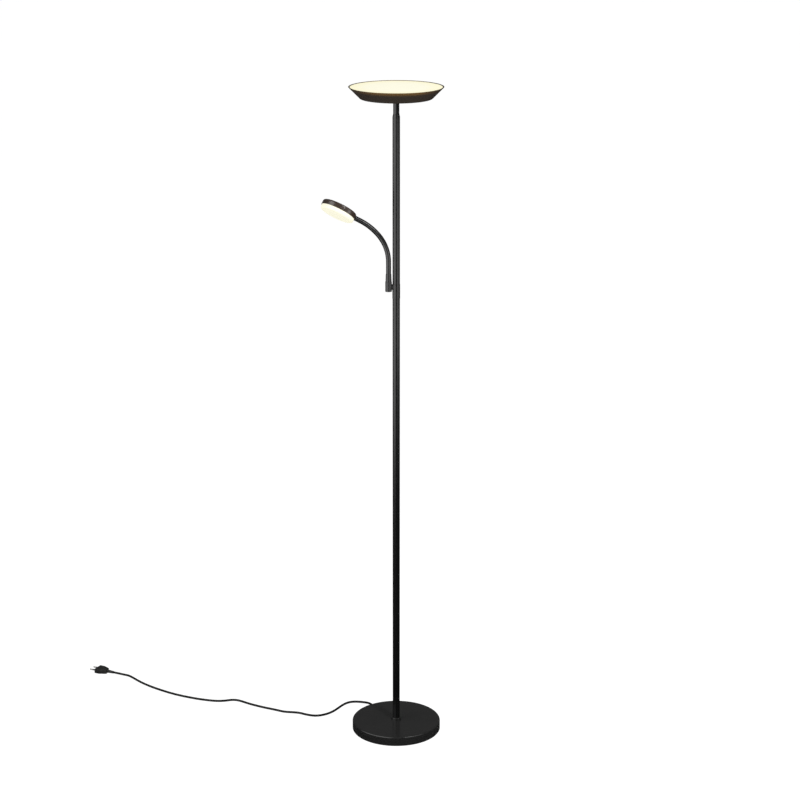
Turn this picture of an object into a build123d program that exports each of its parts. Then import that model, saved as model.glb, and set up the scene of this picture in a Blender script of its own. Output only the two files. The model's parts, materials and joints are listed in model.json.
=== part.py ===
"""Torchiere floor lamp: round base, slim pole, shallow uplight bowl and a reading light on a flexible neck.

Millimetres. The origin is the centre of the base's underside on the floor, +Z up the pole.
The reading arm leaves the pole along -X. The mains lead leaves the base at the back, on the -X side.
"""

import math
import os

from build123d import *

os.makedirs("parts", exist_ok=True)

# Fits and clearances
screwed_gap = 0.02  # radial gap of pieces that are pressed or screwed together
ease_gap = 0.1  # gap of pieces that are laid into each other
running_gap = 0.05  # radial gap of the turning joint behind the reading light
moving_gap = 0.3  # gap between pieces that move against each other

# Overall
lamp_height = 1800.0  # floor to the bowl's rim

# Base
base_diameter = 245.0
base_height = 26.5
base_edge_radius = 4.0
cover_wall = 1.5
pad_thickness = 1.0
pad_margin = 1.0  # from the base's edge to the pad's edge
plate_thickness = 2.0
weight_height = 12.0
weight_margin = 1.5  # between the weight's rim and the cover
boss_diameter = 40.0
recess_diameter = 32.0  # hollow under the weight for the pole nut
recess_depth = 13.5
plate_screw_margin = 22.5  # from the base's edge to the plate screws
plate_screw_count = 4
plate_screw_diameter = 4.0
plate_screw_head_diameter = 7.6
plate_screw_head_height = 1.8
plate_screw_length = 10.0

# Driver in the base
driver_length = 50.0
driver_width = 40.0
driver_height = 17.0
driver_wall = 1.5
driver_margin = 30.0  # from the base's edge to the driver's outer end
driver_lid_thickness = 1.5
pocket_gap = 2.0  # between the driver and the pocket in the weight
driver_board_thickness = 1.6
driver_board_height = 3.0  # of the board above the case floor
driver_board_end_gap = 6.0  # between the board and the case's end walls
board_post_diameter = 5.0
transformer_size = (18.0, 16.0, 6.5)
transformer_place = (7.0, 5.0)  # from the board's middle, along the driver and across it
capacitor_diameter = 6.0
capacitor_length = 14.0
capacitor_place = (-9.0, -9.0)

# Mains lead, its grip in the base, and its plug
cord_diameter = 6.3
cord_exit_angle = 118.0  # round the base, from +X
cord_exit_height = 8.5
cord_floor_gap = 0.05
grip_flange_diameter = 13.0
grip_flange_thickness = 2.5
grip_neck_diameter = 8.6
grip_neck_length = 9.0  # from the cover's outside inwards
grip_boot_length = 20.0
grip_boot_diameter = 10.0
grip_boot_end_diameter = 7.9
channel_width = 10.0
channel_height = 10.0
clamp_length = 8.0
cord_straight = 14.0  # straight run of the lead at the grip and at the plug
bend_share = 0.45  # share of a run that the bend at each of its ends may take
lead_overlap = 3.0  # how far a lead reaches into the case or block that it enters
plug_heading = 154.5  # direction of the pins on the floor, from +X
plug_axis_height = 6.6
plug_length = 37.0
plug_front_width = 34.0
plug_rear_width = 17.0
plug_thickness = 13.0
plug_shoulder_length = 16.0  # of the straight sides behind the front
plug_edge_radius = 3.0
plug_boot_length = 20.0
plug_boot_diameter = 9.6
plug_boot_end_diameter = 7.7
pin_diameter = 4.0
pin_length = 19.0
pin_spacing = 18.6
pin_root = 6.0  # length of a pin inside the body

# Pole
pole_diameter = 19.6
pole_wall = 1.2
pole_end_chamfer = 0.3
seam_height = 640.0  # joint between the lower and the middle tube
coupler_length = 60.0
wire_bore_diameter = 10.0
nipple_diameter = 10.0
nipple_bore_diameter = 7.0
nipple_spare = 0.5  # length of nipple past its nut
foot_ring_width = 4.0
foot_ring_height = 6.0
foot_ring_edge = 1.5
foot_plug_height = 25.0
foot_nipple_depth = 20.0  # of the nipple inside the foot plug
washer_thickness = 1.5
washer_diameter = 24.0
nut_height = 5.0
nut_across_flats = 17.0

# Pole connector that carries the reading arm
connector_proud = 0.5  # of the connector over the pole's surface
connector_drop = 31.0  # from the arm's axis down to the connector's lower end
connector_height = 39.0
connector_spigot = 25.0
connector_edge = 0.4

# Top of the pole and slim stem under the bowl
stem_height = 40.0  # of the stem between the pole and the bowl
bush_flange = 10.0
bush_taper = 8.0  # height of its sloped shoulder
bush_taper_width = 1.5
bush_spigot = 25.0
bush_lip = 2.0
bush_lip_bore = 11.0
stem_step = 1.8  # from the pole's surface in to the stem's
stem_wall = 1.5
stem_plug_height = 20.0
stem_nipple_depth = 18.0  # of the nipple inside the stem plug

# Uplight bowl
bowl_diameter = 248.0
bowl_floor_diameter = 188.0
bowl_depth = 30.0
bowl_wall = 1.6
bowl_floor_edge = 1.5
bowl_lip_width = 3.8  # of the rim turned in over the diffuser's edge
bowl_lip_height = 0.9
diffuser_thickness = 2.5
diffuser_recess = 1.0  # of the diffuser below the rim
spreader_margin = 5.0  # between the heat spreader and the edge of the bowl's floor
spreader_thickness = 2.0
led_board_thickness = 1.6
head_board_margin = 4.0  # between the light board and the spreader's edge
head_board_opening = 36.0
head_board_screw_count = 4
board_screw_diameter = 3.0
board_screw_head_diameter = 5.4
board_screw_head_height = 1.8
head_nut_height = 4.0
head_washer_thickness = 1.2
head_led_inset = 20.0  # from the board's opening to the inner ring of lights
head_led_margin = 16.0  # from the board's edge to the outer ring of lights
head_led_counts = (12, 20)
led_length = 3.5
led_width = 2.8
led_height = 0.8
terminal_length = 12.0
terminal_width = 10.0
terminal_cap = 1.0  # over the lead in the terminal block
terminal_start = 21.0  # from the pole axis to the terminal block

# Inner low-voltage leads
lead_diameter = 3.2
lead_offset = 1.75  # of each lead from the pole axis
lead_base_height = 6.2
lead_bend_radius = 5.0
head_lead_rise = 6.2  # of the lead above the nipple in the bowl

# Arm holder and flexible neck
arm_height = 1271.0  # of the stub's axis above the floor
stub_gap = 1.25  # between the connector and the holder
stub_diameter = 15.0
stub_rod_diameter = 8.0
stub_bore_diameter = 5.2
stub_seat = 4.8  # depth of the rod's thread in the connector
holder_seat = 2.4  # depth of the rod's thread in the holder
stub_skin = 0.05  # gap under the stub's shoulders
holder_diameter = 17.5
holder_drop = 12.2  # from the arm's axis down to the holder's underside
holder_height = 26.7
holder_floor = 4.0
holder_bore_diameter = 9.0
holder_edge = 0.6
ferrule_wall = 0.6  # at its top
ferrule_flare = 0.8  # how much further it stands out at its foot
ferrule_height = 20.6
ferrule_edge = 0.3
ferrule_spigot_diameter = 11.0
ferrule_spigot_length = 7.2
ferrule_bore_diameter = 6.4
ferrule_socket_depth = 12.0
neck_diameter = 13.4
neck_bore_diameter = 6.0
neck_rise = 32.3  # straight stretch above the ferrule
neck_lower_radius = 112.0
neck_lower_turn = 38.7
neck_upper_radius = 155.0
neck_upper_turn = 23.7
neck_tail = 14.9  # straight stretch behind the reading light
neck_sway_at = 14.0  # distances along the neck from the ferrule's top to each bend
neck_bends_at = (46.0, 79.0, 111.0, 140.0)
ball_inset = 0.2  # of the neck's ball ends under the tube's surface

# Reading light
reading_roll = 22.0  # of its face about the neck's end, from the arm's plane towards -Y
reading_diameter = 96.0
reading_height = 14.6
reading_turn_height = 8.4  # from the casing's back to the axis that it turns on
reading_wall = 1.5
reading_ledge_height = 12.2
reading_ledge_width = 1.5
reading_back_edge = 4.5
reading_face_height = 25.0  # from the casing's back to the diffuser's face
reading_face_edge = 5.0
reading_diffuser_wall = 2.0
reading_board_height = 13.0
reading_board_gap = 1.5  # between the light board and the casing
reading_screw_margin = 9.5  # from the light board's edge to its screws
reading_screw_count = 3
reading_screw_length = 7.0
reading_post_diameter = 6.5
reading_led_margin = 4.0  # from the light board's edge to the outer ring of lights
reading_led_spacing = 17.5  # between the two rings of lights
reading_led_counts = (8, 16)
spigot_diameter = 6.0
spigot_bore_diameter = 3.6
clip_diameter = 8.0
clip_thickness = 1.5
swivel_boss_length = 12.0
swivel_boss_width = 14.0

# Heights and sizes that follow from the driving dimensions
FROM_BOTTOM = (Align.CENTER, Align.CENTER, Align.MIN)
FROM_START = (Align.MIN, Align.CENTER, Align.MIN)
base_radius = base_diameter / 2
plate_bottom = pad_thickness
plate_top = plate_bottom + plate_thickness
cover_underside = base_height - cover_wall
weight_radius = base_radius - cover_wall - weight_margin
plate_screw_distance = base_radius - plate_screw_margin
recess_top = plate_top + recess_depth
nipple_bottom = recess_top - washer_thickness - nut_height - nipple_spare
pole_bore = pole_diameter - 2 * pole_wall
connector_diameter = pole_diameter + 2 * connector_proud
connector_bottom = arm_height - connector_drop
connector_top = connector_bottom + connector_height
arm_distance = connector_diameter / 2 + stub_gap + holder_diameter / 2
holder_bottom = arm_height - holder_drop
holder_top = holder_bottom + holder_height
ferrule_diameter = neck_diameter + 2 * ferrule_wall
ferrule_top = holder_top + ferrule_height
stem_diameter = pole_diameter - 2 * stem_step
bowl_bottom = lamp_height - bowl_depth
pole_top = bowl_bottom - stem_height
bush_seat = pole_top - bush_flange
stem_bottom = bush_seat - bush_spigot + bush_lip
bowl_floor = bowl_bottom + bowl_wall
spreader_top = bowl_floor + spreader_thickness
spreader_radius = bowl_floor_diameter / 2 - spreader_margin
head_board_radius = spreader_radius - head_board_margin
head_led_radii = (head_board_opening / 2 + head_led_inset, head_board_radius - head_led_margin)
head_screw_distance = sum(head_led_radii) / 2
head_board_top = spreader_top + led_board_thickness
head_nipple_top = spreader_top + head_washer_thickness + head_nut_height + nipple_spare
head_lead_top = head_nipple_top + head_lead_rise
driver_distance = base_radius - driver_margin - driver_length / 2
exit_plane = Plane(
    (0, 0, 0),
    x_dir=(math.cos(math.radians(cord_exit_angle)), math.sin(math.radians(cord_exit_angle)), 0),
    z_dir=(0, 0, 1),
)
head_lead_foot = exit_plane.from_local_coords((0, -lead_offset, lead_base_height))
arm_lead_foot = exit_plane.from_local_coords((0, lead_offset, lead_base_height))


def write(piece, name):
    """Label a finished piece and write it under its own name."""
    piece.part.label = name
    export_step(piece.part, f"parts/{name}.step")


def pole_tube(bottom, top):
    """One length of pole tube with softened ends."""
    with BuildPart() as tube:
        with Locations((0, 0, bottom)):
            Cylinder(pole_diameter / 2, top - bottom, align=FROM_BOTTOM)
            Cylinder(pole_bore / 2, top - bottom, align=FROM_BOTTOM, mode=Mode.SUBTRACT)
        chamfer(tube.edges().filter_by(GeomType.CIRCLE).sort_by(SortBy.RADIUS)[-2:], pole_end_chamfer)
    return tube


def bush(outer_diameter, bore_diameter, bottom, top):
    """A plain ring about the pole axis."""
    with BuildPart() as ring:
        with Locations((0, 0, bottom)):
            Cylinder(outer_diameter / 2, top - bottom, align=FROM_BOTTOM)
            Cylinder(bore_diameter / 2, top - bottom, align=FROM_BOTTOM, mode=Mode.SUBTRACT)
    return ring


def hex_nut(bottom, height):
    """A pole nut about the pole axis."""
    with BuildPart() as nut:
        with BuildSketch(Plane.XY.offset(bottom)):
            RegularPolygon(nut_across_flats / 2, 6, major_radius=False)
            Circle(nipple_diameter / 2 + screwed_gap, mode=Mode.SUBTRACT)
        extrude(amount=height)
    return nut


# Base: pad, plate, weight and cover
with BuildPart() as base_pad:
    Cylinder(base_radius - pad_margin, pad_thickness, align=FROM_BOTTOM)
write(base_pad, "base_pad")

plate_screw_start = cord_exit_angle + 180 / plate_screw_count
with BuildPart() as base_plate:
    with Locations((0, 0, plate_bottom)):
        Cylinder(base_radius - cover_wall - ease_gap, plate_thickness, align=FROM_BOTTOM)
        with PolarLocations(plate_screw_distance, plate_screw_count, start_angle=plate_screw_start):
            Cone(
                plate_screw_head_diameter / 2 + ease_gap,
                plate_screw_diameter / 2 + ease_gap,
                plate_screw_head_height,
                align=FROM_BOTTOM,
                mode=Mode.SUBTRACT,
            )
            Cylinder(
                plate_screw_diameter / 2 + ease_gap, plate_thickness, align=FROM_BOTTOM, mode=Mode.SUBTRACT
            )
write(base_plate, "base_plate")

with BuildPart() as plate_screws:
    with Locations((0, 0, plate_bottom)):
        with PolarLocations(plate_screw_distance, plate_screw_count, start_angle=plate_screw_start):
            Cone(
                plate_screw_head_diameter / 2,
                plate_screw_diameter / 2,
                plate_screw_head_height,
                align=FROM_BOTTOM,
            )
            Cylinder(plate_screw_diameter / 2, plate_screw_length, align=FROM_BOTTOM)
write(plate_screws, "plate_screws")

with BuildPart() as base_weight:
    with Locations((0, 0, plate_top)):
        Cylinder(weight_radius, weight_height, align=FROM_BOTTOM)
        Cylinder(boss_diameter / 2, cover_underside - plate_top, align=FROM_BOTTOM)
        Cylinder(recess_diameter / 2, recess_depth, align=FROM_BOTTOM, mode=Mode.SUBTRACT)
        Cylinder(nipple_diameter / 2 + ease_gap, base_height, align=FROM_BOTTOM, mode=Mode.SUBTRACT)
        with PolarLocations(plate_screw_distance, plate_screw_count, start_angle=plate_screw_start):
            Cylinder(
                plate_screw_diameter / 2 + screwed_gap,
                plate_screw_length - plate_thickness + ease_gap,
                align=FROM_BOTTOM,
                mode=Mode.SUBTRACT,
            )
    with BuildSketch(exit_plane.offset(plate_top)):
        with Locations((driver_distance, 0)):
            Rectangle(driver_length + 2 * pocket_gap, driver_width + 2 * pocket_gap)
    extrude(amount=weight_height, mode=Mode.SUBTRACT)
    with BuildSketch(exit_plane.offset(plate_top)):
        Rectangle(base_radius, channel_width, align=(Align.MIN, Align.CENTER))
    extrude(amount=channel_height, mode=Mode.SUBTRACT)
write(base_weight, "base_weight")

grip_plane = Plane(
    exit_plane.from_local_coords((base_radius, 0, cord_exit_height)), x_dir=(0, 0, 1), z_dir=exit_plane.x_dir
)
with BuildPart() as base_cover:
    with Locations((0, 0, plate_bottom)):
        Cylinder(base_radius, base_height - plate_bottom, align=FROM_BOTTOM)
    fillet(base_cover.edges().group_by(Axis.Z)[-1], base_edge_radius)
    offset(amount=-cover_wall, openings=base_cover.faces().sort_by(Axis.Z)[0])
    with Locations((0, 0, cover_underside)):
        Cylinder(nipple_diameter / 2 + ease_gap, cover_wall, align=FROM_BOTTOM, mode=Mode.SUBTRACT)
    with BuildSketch(grip_plane):
        Circle(grip_neck_diameter / 2 + screwed_gap)
    extrude(amount=-grip_neck_length, mode=Mode.SUBTRACT)
write(base_cover, "base_cover")

# Driver: case, lid, board and its two large parts
driver_plane = Plane(
    exit_plane.from_local_coords((driver_distance, 0, plate_top)), x_dir=exit_plane.x_dir, z_dir=(0, 0, 1)
)
driver_tray_height = driver_height - driver_lid_thickness
driver_board_bottom = driver_wall + driver_board_height
driver_board_top = driver_board_bottom + driver_board_thickness
inner_length = driver_length - 2 * driver_wall
inner_width = driver_width - 2 * driver_wall
board_length = inner_length - 2 * driver_board_end_gap
board_width = inner_width - 2 * ease_gap
board_post_spacing = (board_length - 2 * board_post_diameter, board_width - 2 * board_post_diameter)
with BuildPart(driver_plane) as driver_case:
    Box(driver_length, driver_width, driver_tray_height, align=FROM_BOTTOM)
    with Locations((0, 0, driver_wall)):
        Box(inner_length, inner_width, driver_tray_height, align=FROM_BOTTOM, mode=Mode.SUBTRACT)
        with GridLocations(*board_post_spacing, 2, 2):
            Cylinder(board_post_diameter / 2, driver_board_height, align=FROM_BOTTOM)
    with Locations((driver_length / 2, 0, cord_exit_height - plate_top)):
        Cylinder(
            cord_diameter / 2 + ease_gap, 3 * driver_wall, rotation=(0, 90, 0), mode=Mode.SUBTRACT
        )
    with Locations((-driver_length / 2, 0, lead_base_height - plate_top)):
        Box(
            3 * driver_wall,
            2 * lead_offset + lead_diameter + 2 * ease_gap,
            lead_diameter + 2 * ease_gap,
            mode=Mode.SUBTRACT,
        )
write(driver_case, "driver_case")

with BuildPart(driver_plane) as driver_lid:
    with Locations((0, 0, driver_tray_height)):
        Box(driver_length, driver_width, driver_lid_thickness, align=FROM_BOTTOM)
    fillet(driver_lid.edges().filter_by(Axis.Z), driver_wall)
write(driver_lid, "driver_lid")

with BuildPart(driver_plane) as driver_board:
    with Locations((0, 0, driver_board_bottom)):
        Box(board_length, board_width, driver_board_thickness, align=FROM_BOTTOM)
write(driver_board, "driver_board")

with BuildPart(driver_plane) as driver_transformer:
    with Locations((*transformer_place, driver_board_top)):
        Box(*transformer_size, align=FROM_BOTTOM)
    fillet(driver_transformer.edges().filter_by(Axis.Z), driver_wall)
write(driver_transformer, "driver_transformer")

with BuildPart(driver_plane) as driver_capacitor:
    with Locations((*capacitor_place, driver_board_top + capacitor_diameter / 2)):
        Cylinder(capacitor_diameter / 2, capacitor_length, rotation=(0, 90, 0))
write(driver_capacitor, "driver_capacitor")

# Grip of the mains lead, its clamp and the tail inside the base
boot_start = grip_flange_thickness
boot_end = boot_start + grip_boot_length
with BuildPart(grip_plane) as cord_grip:
    Cylinder(grip_flange_diameter / 2, grip_flange_thickness, align=FROM_BOTTOM)
    with Locations((0, 0, boot_start)):
        Cone(grip_boot_diameter / 2, grip_boot_end_diameter / 2, grip_boot_length, align=FROM_BOTTOM)
    with Locations((0, 0, -grip_neck_length)):
        Cylinder(grip_neck_diameter / 2, grip_neck_length, align=FROM_BOTTOM)
write(cord_grip, "cord_grip")

tail_start = base_radius - grip_neck_length
tail_end = driver_distance + driver_length / 2 - lead_overlap
with BuildPart() as mains_tail:
    with BuildSketch(grip_plane.offset(-grip_neck_length)):
        Circle(cord_diameter / 2)
    extrude(amount=tail_end - tail_start)
write(mains_tail, "mains_tail")

clamp_distance = (tail_start + driver_distance + driver_length / 2) / 2
clamp_plane = Plane(
    exit_plane.from_local_coords((clamp_distance, 0, plate_top)), x_dir=exit_plane.x_dir, z_dir=(0, 0, 1)
)
with BuildPart(clamp_plane) as cord_clamp:
    Box(clamp_length, channel_width - 2 * ease_gap, channel_height - ease_gap, align=FROM_BOTTOM)
    with Locations((0, 0, cord_exit_height - plate_top)):
        Cylinder(
            cord_diameter / 2 + screwed_gap, 2 * clamp_length, rotation=(0, 90, 0), mode=Mode.SUBTRACT
        )
write(cord_clamp, "cord_clamp")

# Mains lead on the floor, from the grip round the back of the base and out to the plug
floor_height = cord_diameter / 2 + cord_floor_gap
cord_start = grip_plane.from_local_coords((0, 0, boot_end))
cord_lead_out = grip_plane.from_local_coords((0, 0, boot_end + cord_straight))
plug_direction = Vector(math.cos(math.radians(plug_heading)), math.sin(math.radians(plug_heading)), 0)
cord_end = Vector(-842.6, 365.5, plug_axis_height)
cord_points = [
    cord_start,
    cord_lead_out,
    Vector(-88, 152.5, 6.2),
    Vector(-107.5, 162, 4.0),
    Vector(-124, 164.3, floor_height),
    Vector(-139, 158.8, floor_height),
    Vector(-152.5, 144.5, floor_height),
    Vector(-166, 121, floor_height),
    Vector(-182, 95, floor_height),
    Vector(-203, 76, floor_height),
    Vector(-229, 67, floor_height),
    Vector(-255, 75.5, floor_height),
    Vector(-276, 88.5, floor_height),
    Vector(-298, 92.5, floor_height),
    Vector(-320, 95, floor_height),
    Vector(-344, 108, floor_height),
    Vector(-386, 127.5, floor_height),
    Vector(-424, 150, floor_height),
    Vector(-447, 167.5, floor_height),
    Vector(-462, 176, floor_height),
    Vector(-478, 176.5, floor_height),
    Vector(-494, 170.5, floor_height),
    Vector(-520, 168, floor_height),
    Vector(-560, 178, floor_height),
    Vector(-604, 195, floor_height),
    Vector(-648, 217.5, floor_height),
    Vector(-688, 244.5, floor_height),
    Vector(-728, 276, floor_height),
    Vector(-758, 306, floor_height),
    Vector(-780, 333, floor_height),
    Vector(-794, 349, floor_height),
    Vector(-811, 354.5, 4.3),
    cord_end - plug_direction * cord_straight,
    cord_end,
]


def bend_radii(points):
    """The largest radius that each corner's shorter run leaves room for."""
    radii = []
    for before, corner, after in zip(points, points[1:], points[2:]):
        run_in = corner - before
        run_out = after - corner
        half_turn = math.radians(run_in.get_angle(run_out)) / 2
        radii.append(bend_share * min(run_in.length, run_out.length) / math.tan(half_turn))
    return radii


cord_radii = bend_radii(cord_points)
with BuildPart() as mains_cord:
    with BuildLine() as cord_route:
        FilletPolyline(*cord_points, radius=cord_radii)
    with BuildSketch(Plane(cord_start, z_dir=cord_route.wire() % 0)):
        Circle(cord_diameter / 2)
    sweep(path=cord_route.wire())
write(mains_cord, "mains_cord")
cord_length = cord_route.wire().length
cord_section = math.pi * (cord_diameter / 2) ** 2
print("cord length", round(cord_length, 1), "bend radii", [round(r, 1) for r in cord_radii])
print("cord volume ratio", round(mains_cord.part.volume / (cord_section * cord_length), 5))

# Plug: flat moulded body with a tapered boot, and two pins
plug_plane = Plane(cord_end, x_dir=plug_direction, z_dir=(0, 0, 1))
plug_rear = plug_boot_length
plug_front = plug_rear + plug_length
with BuildPart(plug_plane) as plug_body:
    with BuildSketch(plug_plane.offset(-plug_thickness / 2)):
        with BuildLine():
            Polyline(
                (plug_rear, -plug_rear_width / 2),
                (plug_front - plug_shoulder_length, -plug_front_width / 2),
                (plug_front, -plug_front_width / 2),
                (plug_front, plug_front_width / 2),
                (plug_front - plug_shoulder_length, plug_front_width / 2),
                (plug_rear, plug_rear_width / 2),
                close=True,
            )
        make_face()
    extrude(amount=plug_thickness)
    fillet(plug_body.edges().filter_by(Axis.Z), plug_edge_radius)
    plug_rims = plug_body.edges().group_by(Axis.Z)
    fillet(plug_rims[-1] + plug_rims[0], plug_edge_radius / 2)
    with BuildSketch(Plane(cord_end, z_dir=plug_direction)):
        Circle(plug_boot_end_diameter / 2)
    with BuildSketch(Plane(cord_end + plug_direction * (plug_rear + plug_edge_radius), z_dir=plug_direction)):
        Circle(plug_boot_diameter / 2)
    loft()
    with Locations((plug_front - pin_root, 0, 0)):
        with GridLocations(pin_diameter, pin_spacing, 1, 2):
            Cylinder(
                pin_diameter / 2 + screwed_gap,
                2 * pin_root,
                rotation=(0, 90, 0),
                align=FROM_BOTTOM,
                mode=Mode.SUBTRACT,
            )
write(plug_body, "plug_body")

with BuildPart(plug_plane) as plug_pins:
    with Locations((plug_front - pin_root, 0, 0)):
        with GridLocations(pin_diameter, pin_spacing, 1, 2):
            Cylinder(pin_diameter / 2, pin_root + pin_length, rotation=(0, 90, 0), align=FROM_BOTTOM)
    tips = plug_pins.edges().filter_by(GeomType.CIRCLE).sort_by(Axis(cord_end, plug_direction))[-2:]
    fillet(tips, pin_diameter / 4)
write(plug_pins, "plug_pins")

# Pole foot: ring, nipple, plug, washer and nut
foot_nut_bottom = recess_top - washer_thickness - nut_height
with BuildPart() as foot_ring:
    with Locations((0, 0, base_height)):
        Cylinder(pole_diameter / 2 + foot_ring_width, foot_ring_height, align=FROM_BOTTOM)
        Cylinder(pole_diameter / 2 + ease_gap, foot_ring_height, align=FROM_BOTTOM, mode=Mode.SUBTRACT)
    fillet(foot_ring.edges().group_by(Axis.Z)[-1].sort_by(SortBy.RADIUS)[-1], foot_ring_edge)
write(foot_ring, "foot_ring")

foot_plug = bush(
    pole_bore - 2 * screwed_gap,
    nipple_diameter + 2 * screwed_gap,
    base_height,
    base_height + foot_plug_height,
)
write(foot_plug, "foot_plug")
foot_nipple = bush(nipple_diameter, nipple_bore_diameter, nipple_bottom, base_height + foot_nipple_depth)
write(foot_nipple, "foot_nipple")
foot_washer = bush(
    washer_diameter, nipple_diameter + 2 * ease_gap, recess_top - washer_thickness, recess_top
)
write(foot_washer, "foot_washer")
foot_nut = hex_nut(foot_nut_bottom, nut_height)
write(foot_nut, "foot_nut")

# Pole tubes and their coupler
pole_lower = pole_tube(base_height, seam_height)
write(pole_lower, "pole_lower")
pole_middle = pole_tube(seam_height, connector_bottom)
write(pole_middle, "pole_middle")
pole_upper = pole_tube(connector_top, bush_seat)
write(pole_upper, "pole_upper")
pole_coupler = bush(
    pole_bore - 2 * screwed_gap,
    wire_bore_diameter,
    seam_height - coupler_length / 2,
    seam_height + coupler_length / 2,
)
write(pole_coupler, "pole_coupler")

# Connector between the middle and upper tubes, with the arm's side hole
arm_plane = Plane((0, 0, arm_height), x_dir=(0, 1, 0), z_dir=(-1, 0, 0))
with BuildPart() as arm_connector:
    with Locations((0, 0, connector_bottom)):
        Cylinder(connector_diameter / 2, connector_height, align=FROM_BOTTOM)
    chamfer(arm_connector.edges().filter_by(GeomType.CIRCLE), connector_edge)
    with Locations((0, 0, connector_bottom - connector_spigot)):
        Cylinder(
            pole_bore / 2 - screwed_gap, connector_height + 2 * connector_spigot, align=FROM_BOTTOM
        )
        Cylinder(
            wire_bore_diameter / 2,
            connector_height + 2 * connector_spigot,
            align=FROM_BOTTOM,
            mode=Mode.SUBTRACT,
        )
    with BuildSketch(arm_plane):
        Circle(stub_rod_diameter / 2 + screwed_gap)
    extrude(amount=connector_diameter, mode=Mode.SUBTRACT)
write(arm_connector, "arm_connector")

# Pole top and slim stem
with BuildPart() as pole_top_bush:
    with Locations((0, 0, bush_seat)):
        Cylinder(pole_diameter / 2, bush_flange - bush_taper, align=FROM_BOTTOM)
    with Locations((0, 0, pole_top - bush_taper)):
        Cone(pole_diameter / 2, pole_diameter / 2 - bush_taper_width, bush_taper, align=FROM_BOTTOM)
    with Locations((0, 0, bush_seat - bush_spigot)):
        Cylinder(pole_bore / 2 - screwed_gap, bush_spigot, align=FROM_BOTTOM)
        Cylinder(bush_lip_bore / 2, bush_spigot, align=FROM_BOTTOM, mode=Mode.SUBTRACT)
    with Locations((0, 0, stem_bottom)):
        Cylinder(
            stem_diameter / 2 + screwed_gap, pole_top - stem_bottom, align=FROM_BOTTOM, mode=Mode.SUBTRACT
        )
write(pole_top_bush, "pole_top_bush")

stem_bore = stem_diameter - 2 * stem_wall
stem_tube = bush(stem_diameter, stem_bore, stem_bottom, bowl_bottom)
write(stem_tube, "stem_tube")
stem_plug = bush(
    stem_bore - 2 * screwed_gap,
    nipple_diameter + 2 * screwed_gap,
    bowl_bottom - stem_plug_height,
    bowl_bottom,
)
write(stem_plug, "stem_plug")
stem_nipple = bush(
    nipple_diameter, nipple_bore_diameter, bowl_bottom - stem_nipple_depth, head_nipple_top
)
write(stem_nipple, "stem_nipple")

# Uplight bowl, heat spreader, light board and diffuser
wall_slope = (bowl_diameter - bowl_floor_diameter) / 2 / bowl_depth
wall_width = bowl_wall * math.hypot(1, wall_slope)
with BuildPart() as head_bowl:
    with Locations((0, 0, bowl_bottom)):
        Cone(bowl_floor_diameter / 2, bowl_diameter / 2, bowl_depth, align=FROM_BOTTOM)
    fillet(head_bowl.edges().group_by(Axis.Z)[0], bowl_floor_edge)
    offset(amount=-bowl_wall, openings=head_bowl.faces().sort_by(Axis.Z)[-1])
    with Locations((0, 0, bowl_bottom)):
        Cylinder(nipple_diameter / 2 + ease_gap, bowl_wall, align=FROM_BOTTOM, mode=Mode.SUBTRACT)
    with Locations((0, 0, lamp_height - bowl_lip_height)):
        Cone(
            bowl_diameter / 2 - bowl_lip_height * wall_slope,
            bowl_diameter / 2,
            bowl_lip_height,
            align=FROM_BOTTOM,
        )
        Cylinder(
            bowl_diameter / 2 - bowl_lip_width, bowl_lip_height, align=FROM_BOTTOM, mode=Mode.SUBTRACT
        )
write(head_bowl, "head_bowl")

with BuildPart() as heat_spreader:
    with Locations((0, 0, bowl_floor)):
        Cylinder(spreader_radius, spreader_thickness, align=FROM_BOTTOM)
        Cylinder(
            nipple_diameter / 2 + ease_gap, spreader_thickness, align=FROM_BOTTOM, mode=Mode.SUBTRACT
        )
        with PolarLocations(head_screw_distance, head_board_screw_count):
            Cylinder(
                board_screw_diameter / 2 + screwed_gap,
                spreader_thickness,
                align=FROM_BOTTOM,
                mode=Mode.SUBTRACT,
            )
write(heat_spreader, "heat_spreader")

with BuildPart() as head_led_board:
    with Locations((0, 0, spreader_top)):
        Cylinder(head_board_radius, led_board_thickness, align=FROM_BOTTOM)
        Cylinder(head_board_opening / 2, led_board_thickness, align=FROM_BOTTOM, mode=Mode.SUBTRACT)
        with PolarLocations(head_screw_distance, head_board_screw_count):
            Cylinder(
                board_screw_diameter / 2 + ease_gap,
                led_board_thickness,
                align=FROM_BOTTOM,
                mode=Mode.SUBTRACT,
            )
write(head_led_board, "head_led_board")

with BuildPart() as head_leds:
    with Locations((0, 0, head_board_top)):
        for ring_radius, count in zip(head_led_radii, head_led_counts):
            with PolarLocations(ring_radius, count, start_angle=180 / count):
                Box(led_length, led_width, led_height, align=FROM_BOTTOM)
write(head_leds, "head_leds")

with BuildPart() as head_board_screws:
    with PolarLocations(head_screw_distance, head_board_screw_count):
        with Locations((0, 0, head_board_top)):
            Cylinder(board_screw_head_diameter / 2, board_screw_head_height, align=FROM_BOTTOM)
        with Locations((0, 0, bowl_floor + ease_gap)):
            Cylinder(
                board_screw_diameter / 2, head_board_top - bowl_floor - ease_gap, align=FROM_BOTTOM
            )
write(head_board_screws, "head_board_screws")

head_washer = bush(
    washer_diameter,
    nipple_diameter + 2 * ease_gap,
    spreader_top,
    spreader_top + head_washer_thickness,
)
write(head_washer, "head_washer")
head_nut = hex_nut(spreader_top + head_washer_thickness, head_nut_height)
write(head_nut, "head_nut")

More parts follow.
